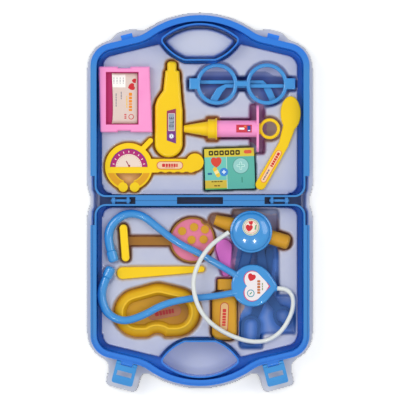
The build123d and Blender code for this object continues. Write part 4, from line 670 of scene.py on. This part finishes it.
PLASTICS = {
    "toy_blue": (TOY_BLUE, TOY_BLUE_DEEP, {"gloss": 0.2, "coat": 1.0}, (
        "glasses_front", "temple_left", "temple_right", "temple_pin_left", "temple_pin_right",
        "headset_upper_arm", "headset_lower_arm", "ear_tip_upper", "ear_tip_lower",
        "stethoscope_plate", "chest_dome", "chest_diaphragm")),
    "sun_yellow": (SUN_YELLOW, SUN_YELLOW_DEEP, {}, (
        "thermometer_body", "syringe_nozzle", "plunger", "plunger_seal", "tongue_depressor",
        "spatula")),
    "amber": (AMBER, AMBER_DEEP, {}, ("hammer_head", "bottle_body", "bottle_cap", "tee_dots")),
    "candy_pink": (CANDY_PINK, CANDY_PINK_DEEP, {}, ("syringe_barrel",)),
    "salmon": (SALMON, SALMON_DEEP, {}, ("tee_face",)),
    "violet": (VIOLET, VIOLET_DEEP, {}, ("spoon",)),
    "scissor_blue": (SCISSOR_BLUE, SCISSOR_DEEP, {}, (
        "scissor_blade_a", "scissor_blade_b", "scissor_pivot", "hammer_grip")),
    "latch_blue": (LATCH_BLUE, TOY_BLUE_DEEP, {}, (
        "latch_left", "latch_right", "latch_pin_left", "latch_pin_right")),
}
for name, (colour, deep, finish, wearers) in PLASTICS.items():
    wear(skinned(name, colour, deep, flow_scale=30.0, **finish)[0], *wearers)
print("plastics:", ", ".join(PLASTICS))

# %% [markdown]
# ## Colour that rises with height
# Light reaches the bottom of a channel or a dish only after it has bounced off the plastic, so the
# plastic looks deeper in colour there than on a rim. Three finishes need that: the case, the kidney
# dish and the tee. One group turns the height of a point into a mask from 0 to 1.

# %% Build the rise group
def along(tree, axis, start, end, mirrored=False, blend="SMOOTHSTEP"):
    """How far a point lies from one place to another on an axis of its object, from 0 to 1."""
    place = add_node(tree, "TexCoord").outputs["Object"]
    value = add_node(tree, "SeparateXYZ", {"Vector": place}).outputs[axis]
    if mirrored:
        value = maths(tree, "ABSOLUTE", value)
    inputs = {"Value": value, "From Min": start, "From Max": end}
    return add_node(tree, "MapRange", inputs, interpolation_type=blend).outputs["Result"]


rise, given, out = group("rise", {"Low": 0.0, "High": 0.01}, MASK)
feed(out, {"Mask": along(rise, "Z", given["Low"], given["High"])})


def risen(tree, shader, low_colour, high_colour, low, high):
    """Makes a finish go from one colour to another between two heights."""
    mask = place_group(tree, rise, Low=low, High=high).outputs["Mask"]
    feed(shader, {"Base Color": mixed(tree, mask, low_colour, high_colour)})


print("group:", rise.name)

# %% [markdown]
# ## The case's blue
# The case is one blue, but its side rims look pale where they catch the light, while the thick bars
# round the two hand holes stay deep. So a point's colour depends on how high it lies, deeper low in
# the channel where light has bounced, and the side rims carry a painted highlight that fades near
# the handles.

# %% Make the case's blue
HANDLE_FROM, HANDLE_TO = 0.140, 0.168
CHANNEL_Z, RIM_Z = 0.022, 0.0315
CASE_NODES = ("lid_shell", "base_shell", "hinge_pin_left", "hinge_pin_right")

case_blue, tree, shader, colour = skinned("case_blue", CASE_DEEP, CASE_BLUE, gloss=0.26, coat=0.3)
handle = along(tree, "Y", HANDLE_FROM, HANDLE_TO, mirrored=True)
# The painted highlight on the side rims gives way to the handles' deep blue; low points take the
# deeper bounced-light blue.
risen(tree, shader, colour, mixed(tree, handle, CASE_RIM_HIGHLIGHT, CASE_HANDLE), CHANNEL_Z, RIM_Z)
wear(case_blue, *CASE_NODES)
print("case blue is on", len(CASE_NODES), "nodes")

# %% [markdown]
# ## The tee and the dish
# The tee's bar lies high in the light and is bright yellow, while its stem and the disc's rim lie
# deep in the pocket and look brown. The kidney dish is golden at its rim, and its floor goes from
# amber at the left to brown at the right, where the bottle shades it.

# %% Make the tee's and the dish's yellows
STEM_Z, BAR_Z = 0.0145, 0.0185
DISH_FLOOR_Z, DISH_RIM_Z = 0.0052, 0.0125

tee_yellow, tree, shader, colour = skinned("tee_yellow", AMBER_DARK, (164, 112, 40))
risen(tree, shader, colour, SUN_YELLOW, STEM_Z, BAR_Z)
wear(tee_yellow, "tee_handle")

low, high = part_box("kidney_dish")
dish_amber, tree, shader, _ = skinned("dish_amber", AMBER_DEEP, AMBER, gloss=0.24, coat=0.3)
across_dish = along(tree, "X", low[0], high[0], blend="LINEAR")
dish_floor = mixed(tree, across_dish, (222, 166, 30), (146, 92, 22))
risen(tree, shader, dish_floor, (240, 190, 36), DISH_FLOOR_Z, DISH_RIM_Z)
wear(dish_amber, "kidney_dish")
print("made:", tee_yellow.name, dish_amber.name)

# %% [markdown]
# ## Sheet and blister
# The trays are thin, pale and very glossy, and take their tint from the points' stored colour. The
# blister under the case is clear film with bright lines where it bends. Two clear layers over a
# white floor look pale lilac, so its finish is a pale and nearly opaque coat.

# %% Make the pressed sheet's finish
CLOUD_SCALE = 14.0
CLOUD = (240, 242, 252)


def stored_tint(tree):
    """The colour that a sheet's points store."""
    return add_node(tree, "VertexColor", layer_name="tint").outputs["Color"]


sheet_film, tree, shader, _ = skinned("tray_film", PALE_SHEET, PALE_SHEET, gloss=0.22, coat=0.3,
                                      ripple=0.25, ripple_scale=90.0)
cloud = add_node(tree, "TexNoise", {"Scale": CLOUD_SCALE}).outputs["Fac"]
clouded = mixed(tree, cloud, stored_tint(tree), CLOUD, blend_type="MULTIPLY")
feed(shader, {"Base Color": clouded})
wear(sheet_film, "lid_pressed_sheet", "base_pressed_sheet")
print("made:", sheet_film.name)

# %% Make the blister's and the hose's finishes
BLISTER_ALPHA = 0.9

blister_film, tree, shader, _ = skinned("clear_blister", FILM_GREY, FILM_GREY, gloss=0.16,
                                        coat=0.4, ripple=0.3, ripple_scale=60.0)
feed(shader, {"Base Color": stored_tint(tree), "Alpha": BLISTER_ALPHA})
wear(blister_film, "blister_skin")
hose_white = skinned("hose_white", HOSE_WHITE, HOSE_GREY, gloss=0.42, ripple=0.1)[0]
wear(hose_white, "white_hose")
print("made:", blister_film.name, hose_white.name)

# %% [markdown]
# ## Prints
# Stickers and cards carry flat printed shapes. Each print here is a chain of masks over a ground
# colour, worked out from the object's own coordinates, so the ink stays on the sticker from every
# side. Three small groups give the masks: a rounded bar, a disc or ring, and a heart. A heart is
# where (x^2 + y^2 - 1)^3 is less than x^2 y^3.

# %% Build the print masks
MIDDLE = {"X": 0.0, "Y": 0.0, "Turn": 0.0}
HAIR = 0.0001


def from_middle(tree, given):
    """Millimetres across and along from a print's middle, turned by its angle."""
    place = add_node(tree, "TexCoord").outputs["Object"]
    scaled = add_node(tree, "VectorMath", {0: place, "Scale": 1000}, operation="SCALE")
    middle = add_node(tree, "CombineXYZ", {axis: given[axis] for axis in "XY"})
    shifted = add_node(tree, "VectorMath", {0: scaled.outputs[0], 1: middle.outputs[0]},
                       operation="SUBTRACT")
    angle = maths(tree, "MULTIPLY", given["Turn"], -math.pi / 180)
    turned = add_node(tree, "VectorRotate", {"Vector": shifted.outputs[0], "Angle": angle},
                      rotation_type="Z_AXIS")
    split = add_node(tree, "SeparateXYZ", {0: turned.outputs[0]})
    return split.outputs["X"], split.outputs["Y"]


def length(do, x, y):
    """The length of a flat vector."""
    return do("SQRT", do("ADD", do("MULTIPLY", x, x), do("MULTIPLY", y, y)))


bar_print, given, out = group(
    "bar_print", {**MIDDLE, "Long": 4.0, "Wide": 1.0, "Round": 0.0}, MASK)
do = partial(maths, bar_print)
past_core = []
for place, size in zip(from_middle(bar_print, given), ("Long", "Wide")):
    core = do("SUBTRACT", do("MULTIPLY", given[size], 0.5), given["Round"])
    past_core.append(do("MAXIMUM", do("SUBTRACT", do("ABSOLUTE", place), core), 0.0))
inside = do("LESS_THAN", length(do, *past_core), do("ADD", given["Round"], HAIR))
feed(out, {"Mask": inside})

ring_print, given, out = group(
    "ring_print", {**MIDDLE, "Outer": 2.0, "Inner": 0.0}, MASK)
do = partial(maths, ring_print)
reach = length(do, *from_middle(ring_print, given))
inside = do("MULTIPLY", do("LESS_THAN", reach, given["Outer"]),
            do("GREATER_THAN", reach, given["Inner"]))
feed(out, {"Mask": inside})

heart_print, given, out = group(
    "heart_print", {**MIDDLE, "Size": 4.0, "Broad": 1.0}, MASK)
do = partial(maths, heart_print)
x, y = from_middle(heart_print, given)
x = do("DIVIDE", do("DIVIDE", x, given["Broad"]), given["Size"])
y = do("DIVIDE", y, given["Size"])
x2, y2 = do("MULTIPLY", x, x), do("MULTIPLY", y, y)
ball = do("SUBTRACT", do("ADD", x2, y2), 1.0)
cube = do("MULTIPLY", do("MULTIPLY", ball, ball), ball)
cleft = do("MULTIPLY", do("MULTIPLY", x2, y2), y)
feed(out, {"Mask": do("LESS_THAN", cube, cleft)})
print("print groups:", bar_print.name, ring_print.name, heart_print.name)


# %% Lay inks over a ground
CORNER_SHARE = 0.25


class Print:
    """A printed material: inks laid one after another over a ground colour.

    Its shapes are placed in millimetres from one point of the object, given as (x, y, turn).
    """

    def __init__(self, name, ground, drift=None, at=(0, 0, 0), gloss=0.35, ripple=0.03):
        self.material, self.tree, self.shader, self.colour = skinned(
            name, ground, drift or ground, gloss=gloss, ripple=ripple)
        self.at = at

    def ink(self, shared, colour, x, y, turn=0.0, **sizes):
        left, low, lean = self.at
        cos, sin = math.cos(math.radians(lean)), math.sin(math.radians(lean))
        node = place_group(self.tree, shared, X=left + x * cos - y * sin,
                           Y=low + x * sin + y * cos, Turn=lean + turn, **sizes)
        self.colour = mixed(self.tree, node.outputs["Mask"], self.colour, colour)
        feed(self.shader, {"Base Color": self.colour})

    def bar(self, colour, x, y, long, wide, turn=0.0, rounding=0.0):
        self.ink(bar_print, colour, x, y, turn, Long=long, Wide=wide, Round=rounding)

    def cross(self, colour, x, y, long, wide, rounding=0.0):
        self.bar(colour, x, y, long, wide, 0.0, rounding)
        self.bar(colour, x, y, wide, long, 0.0, rounding)

    def ring(self, colour, x, y, outer, inner=0.0):
        self.ink(ring_print, colour, x, y, Outer=outer, Inner=inner)

    def heart(self, colour, x, y, size, turn=0.0, broad=1.0):
        self.ink(heart_print, colour, x, y, turn, Size=size, Broad=broad)

    def bars(self, colour, x, y, turn, pitch, lengths, wide):
        """A row of short bars, one after another along the turned X axis, in place of words."""
        across, up = math.cos(math.radians(turn)), math.sin(math.radians(turn))
        at = -(sum(lengths) + pitch * (len(lengths) - 1)) / 2
        for long in lengths:
            middle = at + long / 2
            self.bar(colour, x + middle * across, y + middle * up, long, wide, turn,
                     min(long, wide) * CORNER_SHARE)
            at += long + pitch


# %% [markdown]
# ## Painted shade on two mouldings
# Two toys show a second colour that is painted shade. The badge holder's window is a deep recess,
# so its pink turns magenta there. The lower half of the gauge's ring lies in its own shade and is
# orange between the yellow knobs and the yellow bar. Masks laid over the plastic paint both.

# %% Paint shade on the badge holder and the gauge
WINDOW = (-85.8, 112.8, 36.2, 58.2)
RING = (-78.7, 37.4, 0)

art = Print("badge_pink", CANDY_PINK, CANDY_PINK_DEEP, gloss=0.3, ripple=0.06)
# Painted shade: the window's recess is magenta.
art.bar(WINDOW_SHADE_MAGENTA, *WINDOW)
wear(art.material, "badge_holder")

art = Print("gauge_yellow", SUN_YELLOW, SUN_YELLOW_DEEP, RING, gloss=0.3, ripple=0.06)
# Painted shade: the ring's lower half is orange, and the yellow bar and knobs cover the rest again.
art.ring((226, 160, 24), 0, 0, 24.2, 17.4)
art.bar(SUN_YELLOW, 0, 23.0, 60.0, 60.0)
for side in (-1, 1):
    art.ring(SUN_YELLOW, side * 6.3, -22.6, 5.6)
wear(art.material, "gauge_body")
print("painted_shade_on:", "badge_holder", "gauge_body")

# %% [markdown]
# ## The badge card
# The paper card in the pink holder has slipped to the right, and curls up at its left edge. It is a
# curved sheet that stands for the flat solid one. Its print is two hearts, a stamp box, a broad
# orange stripe of marks and rows of thin lines.

# %% Curl the card
CARD_IN, CARD_OVER, PAPER = 0.0038, 0.0001, 0.0003
CARD_ACROSS, CARD_UP = 24, 12
CURL, CURL_FALL = 0.0021, 2.2
BOW, BOW_SKEW = 0.0012, 0.6


def curled_card():
    """A sheet that rises towards its left edge."""
    low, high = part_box("badge_card")
    left = low[0] + CARD_IN
    points, faces = [], []
    for i in range(CARD_ACROSS + 1):
        share = i / CARD_ACROSS
        lift = CURL * max(0.0, 1 - share * CURL_FALL) ** 2
        for j in range(CARD_UP + 1):
            up = j / CARD_UP
            bowed = BOW * (1 - share) ** 2 * math.sin(math.pi * up ** BOW_SKEW)
            points.append((left + bowed + share * (high[0] - left),
                           low[1] + (high[1] - low[1]) * up, high[2] + CARD_OVER + lift))
    for i in range(CARD_ACROSS):
        for j in range(CARD_UP):
            first = i * (CARD_UP + 1) + j
            faces.append((first, first + CARD_UP + 1, first + CARD_UP + 2, first + 1))
    card = mesh_piece("curled_card", points, faces)
    thicken(card, PAPER)
    return card


card = curled_card()
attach(card, "badge")
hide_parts("badge_card")
print("badge card:", len(card.data.vertices), "points")

# %% Print the card
art = Print("badge_print", CARD_WHITE, gloss=0.45)
art.heart(INK_RED, -73.2, 132.4, 2.2, -100)
art.heart(INK_RED, -76.4, 125.4, 3.4, -75)
art.bar((252, 248, 240), -89.8, 132.0, 15.0, 14.0)
for n in range(4):
    art.bars(INK_GREY, -95.0 + 3.4 * n, 132.5, -90, 0.7, (1.6, 2.6, 1.2), 0.7)
for colour, x, y, pitch, lengths, wide in (
        (INK_ORANGE, -76.8, 109.0, 0.7, (3.6, 3.0, 3.0, 1.8, 3.0, 2.4), 3.6),
        ((240, 190, 60), -80.8, 109.0, 0.5, (2.0, 3.0, 1.6, 2.6, 2.0), 1.2),
        (INK_GREY, -87.0, 116.0, 0.5, (2.4, 3.2, 1.6), 0.9),
        (INK_GREY, -92.6, 111.0, 0.5, (3.0, 1.8, 3.4, 2.0, 2.4), 0.9),
        (INK_RED, -82.4, 93.0, 0.8, (1.2, 1.0, 1.4), 2.4)):
    art.bars(colour, x, y, -90, pitch, lengths, wide)
art.ring(INK_RED, -76.0, 92.5, 3.0, 2.2)
wear(art.material, "curled_card")
print("badge card printed")

# %% [markdown]
# ## The thermometer's label
# A slanted purple and maroon sticker frames a grey display with dark digits, and a round white
# button is printed under it. Digits are generic, so the display shows a body temperature.

# %% Print the thermometer
SEGMENTS = {"3": "abcdg", "7": "abc", "0": "abcdef"}
SEGMENT_PLACES = {"a": (0, 2.0, 2.0, 0.6), "b": (1.0, 1.0, 0.6, 2.0), "c": (1.0, -1.0, 0.6, 2.0),
                  "d": (0, -2.0, 2.0, 0.6), "e": (-1.0, -1.0, 0.6, 2.0), "f": (-1.0, 1.0, 0.6, 2.0),
                  "g": (0, 0, 2.0, 0.6)}
READING = "370"
DISPLAY = (-31.5, 91.2, 0)
DIGIT_PITCH = 4.4
BUTTON = (-31.5, 71.0, 0)

art = Print("thermometer_print", (150, 56, 88))
art.bar((116, 52, 130), -31.6, 70.0, 12.0, 13.0)
art.bar((214, 200, 196), -31.4, 86.6, 7.6, 19.6, 0, 0.8)
wear(art.material, "thermometer_label")

art = Print("display_print", (150, 160, 172), at=DISPLAY)
for number, digit in enumerate(READING):
    for segment in SEGMENTS[digit]:
        across, up, wide, tall = SEGMENT_PLACES[segment]
        art.bar((40, 44, 60), up, -DIGIT_PITCH * number - across, tall, wide)
wear(art.material, "thermometer_screen")

art = Print("button_print", (244, 246, 250), at=BUTTON)
art.ring((120, 130, 160), 0, 0, 2.3, 1.9)
art.bar((90, 100, 140), 0, 0, 0.8, 1.8)
wear(art.material, "thermometer_button")
print("thermometer printed")

# %% [markdown]
# ## The gauge
# Half of the ring carries a printed dial: a purple band with white ticks round a cream field, and a
# small dark needle. The handle's sticker is a peach oval with a red outline.

# %% Print the gauge
DIAL = (-78.7, 36.8, 0)
NEEDLE = (150, 40, 70)
OUTLINE = 1.3
MARK_SHARE, MARK_PITCH = 0.42, 0.6
ROW_SHARE, ROW_PITCH, ROW_WIDE = 0.6, 0.4, 0.6

art = Print("dial_print", (176, 34, 112), at=DIAL)
art.ring((132, 44, 140), 0, 0, 21.5, 19.6)
art.ring((236, 214, 196), 0, 0, 14.6)
for ticks, start, pitch, reach, long, wide, colour in (
        (9, 12, 19.5, 17.2, 2.0, 0.8, (250, 236, 220)),
        (17, 8, 10.25, 13.4, 1.0, 0.5, (216, 150, 130))):
    for step in range(ticks):
        turn = start + pitch * step
        angle = math.radians(turn)
        art.bar(colour, reach * math.cos(angle), reach * math.sin(angle), long, wide, turn)
art.bar(NEEDLE, -1.4, 4.2, 6.4, 1.0, 118)
art.ring(NEEDLE, 0.4, 1.6, 1.2)
wear(art.material, "gauge_dial")


def oval_sticker(name, node_name, bar, ground, rim, marks, mark_colour, row=0.0):
    """A round-ended sticker (x, y, turn, long, wide) with an outline and a row of marks."""
    *at, long, wide = bar
    art = Print(name, rim, at=at)
    art.bar(ground, 0, 0, long - OUTLINE, wide - OUTLINE, 0, (wide - OUTLINE) / 2)
    art.bars(mark_colour, 0, 0, 0, MARK_PITCH, marks, wide * MARK_SHARE)
    if row:
        art.bars(rim, 0, -row, 0, ROW_PITCH, [mark * ROW_SHARE for mark in marks], ROW_WIDE)
    wear(art.material, node_name)


oval_sticker("gauge_sticker", "gauge_label", (-33.3, 38.9, 0, 29.0, 8.8), (238, 200, 160),
             (200, 74, 60), (3.4, 2.4, 2.4, 2.0, 2.4, 1.6), INK_RED, row=2.6)
print("gauge printed")

# %% Print the long stickers
def between(start, end, wide):
    """A round-ended bar of a given width between the middles of its ends."""
    run = Vector(end) - Vector(start)
    middle = (Vector(start) + Vector(end)) / 2
    return middle.x, middle.y, math.degrees(math.atan2(run.y, run.x)), run.length + wide, wide


x, y, turn, long, wide = between((87.0, 52.5), (70.2, 23.0), 5.2)
art = Print("spatula_sticker", (232, 120, 60))
art.bar((250, 206, 150), x, y, long, wide, turn, wide / 2)
art.bars(INK_RED, x + 4.4, y + 7.4, turn, 0.6, (3.6, 2.4, 2.4, 2.0, 2.4, 1.8), 3.0)
art.bars((120, 110, 140), x - 5.4, y - 9.2, turn, 0.5, (2.4, 3.0, 1.4, 2.4, 2.0), 1.6)
wear(art.material, "spatula_label")

oval_sticker("bottle_sticker", "bottle_label", between((27.2, -117.4), (26.2, -141.0), 9.4),
             (222, 176, 120), (190, 46, 40), (3.8, 2.6, 2.6, 2.2, 2.6, 2.0), (206, 50, 44))
oval_sticker("dish_sticker", "dish_label", between((-52.0, -126.6), (-27.0, -121.8), 12.0),
             (178, 112, 76), (168, 92, 84), (4.4, 3.0, 3.0, 2.6, 3.0, 2.4), (176, 36, 44), row=3.6)
print("long stickers printed")

# %% Print the syringe's and the chest piece's stickers
STICKER_WHITE = (250, 244, 244)
LEAF = (96, 168, 120)

art = Print("syringe_sticker", (206, 52, 70))
art.bar(STICKER_WHITE, 46.0, 79.3, 6.0, 2.2, 0, 0.8)
art.bar((40, 70, 150), 54.0, 79.3, 3.6, 6.4)
art.bar(STICKER_WHITE, 54.0, 77.2, 2.2, 1.0)
art.bar((232, 120, 60), 49.8, 81.6, 2.6, 2.0)
wear(art.material, "syringe_label")

art = Print("chest_sticker", (236, 224, 206))
art.ring(LEAF, STICKER_X, STICKER_Y, 8.6, 8.0)
art.ring((214, 90, 90), STICKER_X, STICKER_Y, 7.0, 6.5)
art.heart(INK_RED, 54.0, -31.0, 3.4, -8)
art.heart(INK_RED, 56.2, -25.2, 2.0, 10)
art.bar(LEAF, 61.2, -29.6, 5.4, 1.5, 80, 0.7)
wear(art.material, "chest_round_sticker")
print("stickers printed")

# %% [markdown]
# ## The heart sticker
# The plate's sticker is a heart that lies on its side, with a magenta outline. Inside it, in place
# of the real one's picture and words, are a small red heart, a green leaf and plain bars.

# %% Print the heart sticker
art = Print("heart_sticker", (206, 60, 110), at=(61.2, -94.3, 0))
art.heart((234, 226, 226), 2.9, 0, 12.1, 90, 1.17)
art.heart(INK_RED, -4.6, 8.8, 3.8, -20)
art.ring((60, 150, 170), -5.2, -8.0, 4.2, 3.2)
art.bar((60, 150, 100), -5.2, -8.0, 3.2, 1.1, 45)
art.bars((190, 110, 60), 3.6, -1.0, 90, 0.6, (2.6, 2.2, 3.0, 2.2, 2.6), 3.4)
art.bars((120, 140, 80), 7.6, -0.6, 90, 0.5, (2.8, 1.8, 2.4), 1.1)
wear(art.material, "heart_label")
print("heart sticker printed")

# %% [markdown]
# ## The card box
# A flat printed box lies under the syringe: a yellow band, two teal panels and a yellow foot. Its
# picture is a plain one made for this model: a cross, a heart and a plaster on the left, and a pale
# outlined disc with a cross on the right.

# %% Print the card box
BOX = (32.8, 35.2, 1.8)
BAND_YELLOW = (216, 196, 60)
PLASTER_TURN = -63.8

art = Print("box_print", (92, 178, 160), at=BOX, gloss=0.3)
for colour, x, y, long, wide in (
        (BAND_YELLOW, 0, 18.0, 56.0, 9.4), ((212, 184, 60), -15.8, -16.4, 24.4, 9.4),
        ((96, 176, 80), -15.8, -21.7, 24.4, 1.3), ((110, 196, 180), -15.8, 0.4, 24.4, 25.4),
        ((190, 220, 200), -3.2, -4.4, 0.7, 35.4)):
    art.bar(colour, x, y, long, wide)
art.bars((60, 48, 10), -5.4, 17.8, 0, 0.9, (5.0,) * 6, 5.4)
art.bars(BAND_YELLOW, -5.4, 17.8, 0, 3.9, (2.0,) * 6, 2.0)
art.bar((222, 92, 60), 20.6, 18.2, 8.6, 4.0, 0, 2.0)
art.heart((216, 70, 50), -14.6, 6.6, 5.2)
art.bar((232, 196, 56), -14.6, -3.4, 12.0, 4.6, PLASTER_TURN, 2.2)
art.bar((250, 226, 150), -14.6, -3.4, 3.6, 4.6, PLASTER_TURN)
art.ring((60, 130, 206), -6.4, -3.4, 4.6)
art.cross((220, 236, 246), -6.4, -3.4, 4.4, 1.3)
art.bar((40, 110, 150), -22.0, -5.0, 5.2, 2.4, 0, 1.1)
art.bars((110, 90, 20), -14.4, -13.8, 0, 0.5, (2.4, 3.2, 1.8, 3.4), 1.3)
art.bars((130, 96, 20), -14.4, -18.4, 0, 0.5, (3.2, 2.8), 1.5)
art.ring((150, 204, 196), 12.4, 3.0, 8.6)
art.ring((84, 150, 138), 12.4, 3.0, 9.1, 8.3)
art.cross((196, 232, 220), 12.4, 3.0, 9.0, 2.6, 0.8)
art.cross((132, 196, 184), 12.4, 3.0, 7.6, 1.2)
art.bar((60, 140, 120), 13.4, -12.6, 1.2, 6.4, 0, 0.5)
wear(art.material, "picture_box")
print("card box printed")

# %% [markdown]
# ## Light and floor
# A pale world and two soft boxes, one on each side, light the toys evenly. Nothing bright hangs
# straight above, because flat glossy plastic would mirror it and look washed out. Two small lamps
# put the sharp glints on the plastic. The floor is white, and glows a little where it is looked at
# or mirrored, so that it reads as plain paper while it keeps the case's shadow.

# %% Light the set
SKY, SKY_STRENGTH = (0.93, 0.96, 1.0, 1), 0.62


def lamp(name, place, size, watts):
    """A square soft lamp that faces the middle of the case."""
    light = bpy.data.lights.new(name, "AREA")
    light.size = size
    light.energy = watts
    piece = bpy.data.objects.new(name, light)
    piece.location = place
    piece.rotation_euler = (-Vector(place)).to_track_quat("-Z", "Y").to_euler()
    scene.collection.objects.link(piece)


lamp("left_softbox", (-1.1, 0.5, 1.5), 0.9, 11.5)
lamp("right_softbox", (1.1, 0.3, 1.4), 0.9, 6.5)
lamp("glint_left", (-0.30, -0.57, 1.6), 0.10, 1.9)
lamp("glint_right", (0.28, -0.60, 1.6), 0.10, 1.9)

world = bpy.data.worlds.new("studio")
scene.world = world
world.use_nodes = True
background = world.node_tree.nodes["Background"]
background.inputs["Color"].default_value = SKY
background.inputs["Strength"].default_value = SKY_STRENGTH
print("lamps:", [light.name for light in bpy.data.lights])

# %% Lay the floor
FLOOR_HALF, FLOOR_DROP = 4, 0.0002
FLOOR_GLOW = 0.25

corners = [(x * FLOOR_HALF, y * FLOOR_HALF, 0) for x, y in ((-1, -1), (1, -1), (1, 1), (-1, 1))]
floor = mesh_piece("floor", corners, [(0, 1, 2, 3)])
floor.location.z = -FLOOR_DROP

paper, tree, shader = new_material("white_floor")
shader.inputs["Base Color"].default_value = (0.9, 0.9, 0.9, 1)
shader.inputs["Emission Color"].default_value = (1, 1, 1, 1)
path = add_node(tree, "LightPath").outputs
mirrored = maths(tree, "ADD", path["Is Glossy Ray"], path["Is Transmission Ray"])
seen = maths(tree, "MINIMUM", maths(tree, "ADD", path["Is Camera Ray"], mirrored), 1.0)
glow = maths(tree, "MULTIPLY", seen, FLOOR_GLOW)
feed(shader, {"Roughness": 0.7, "Emission Strength": glow})
wear(paper, "floor")
print("floor:", 2 * FLOOR_HALF, "m wide")
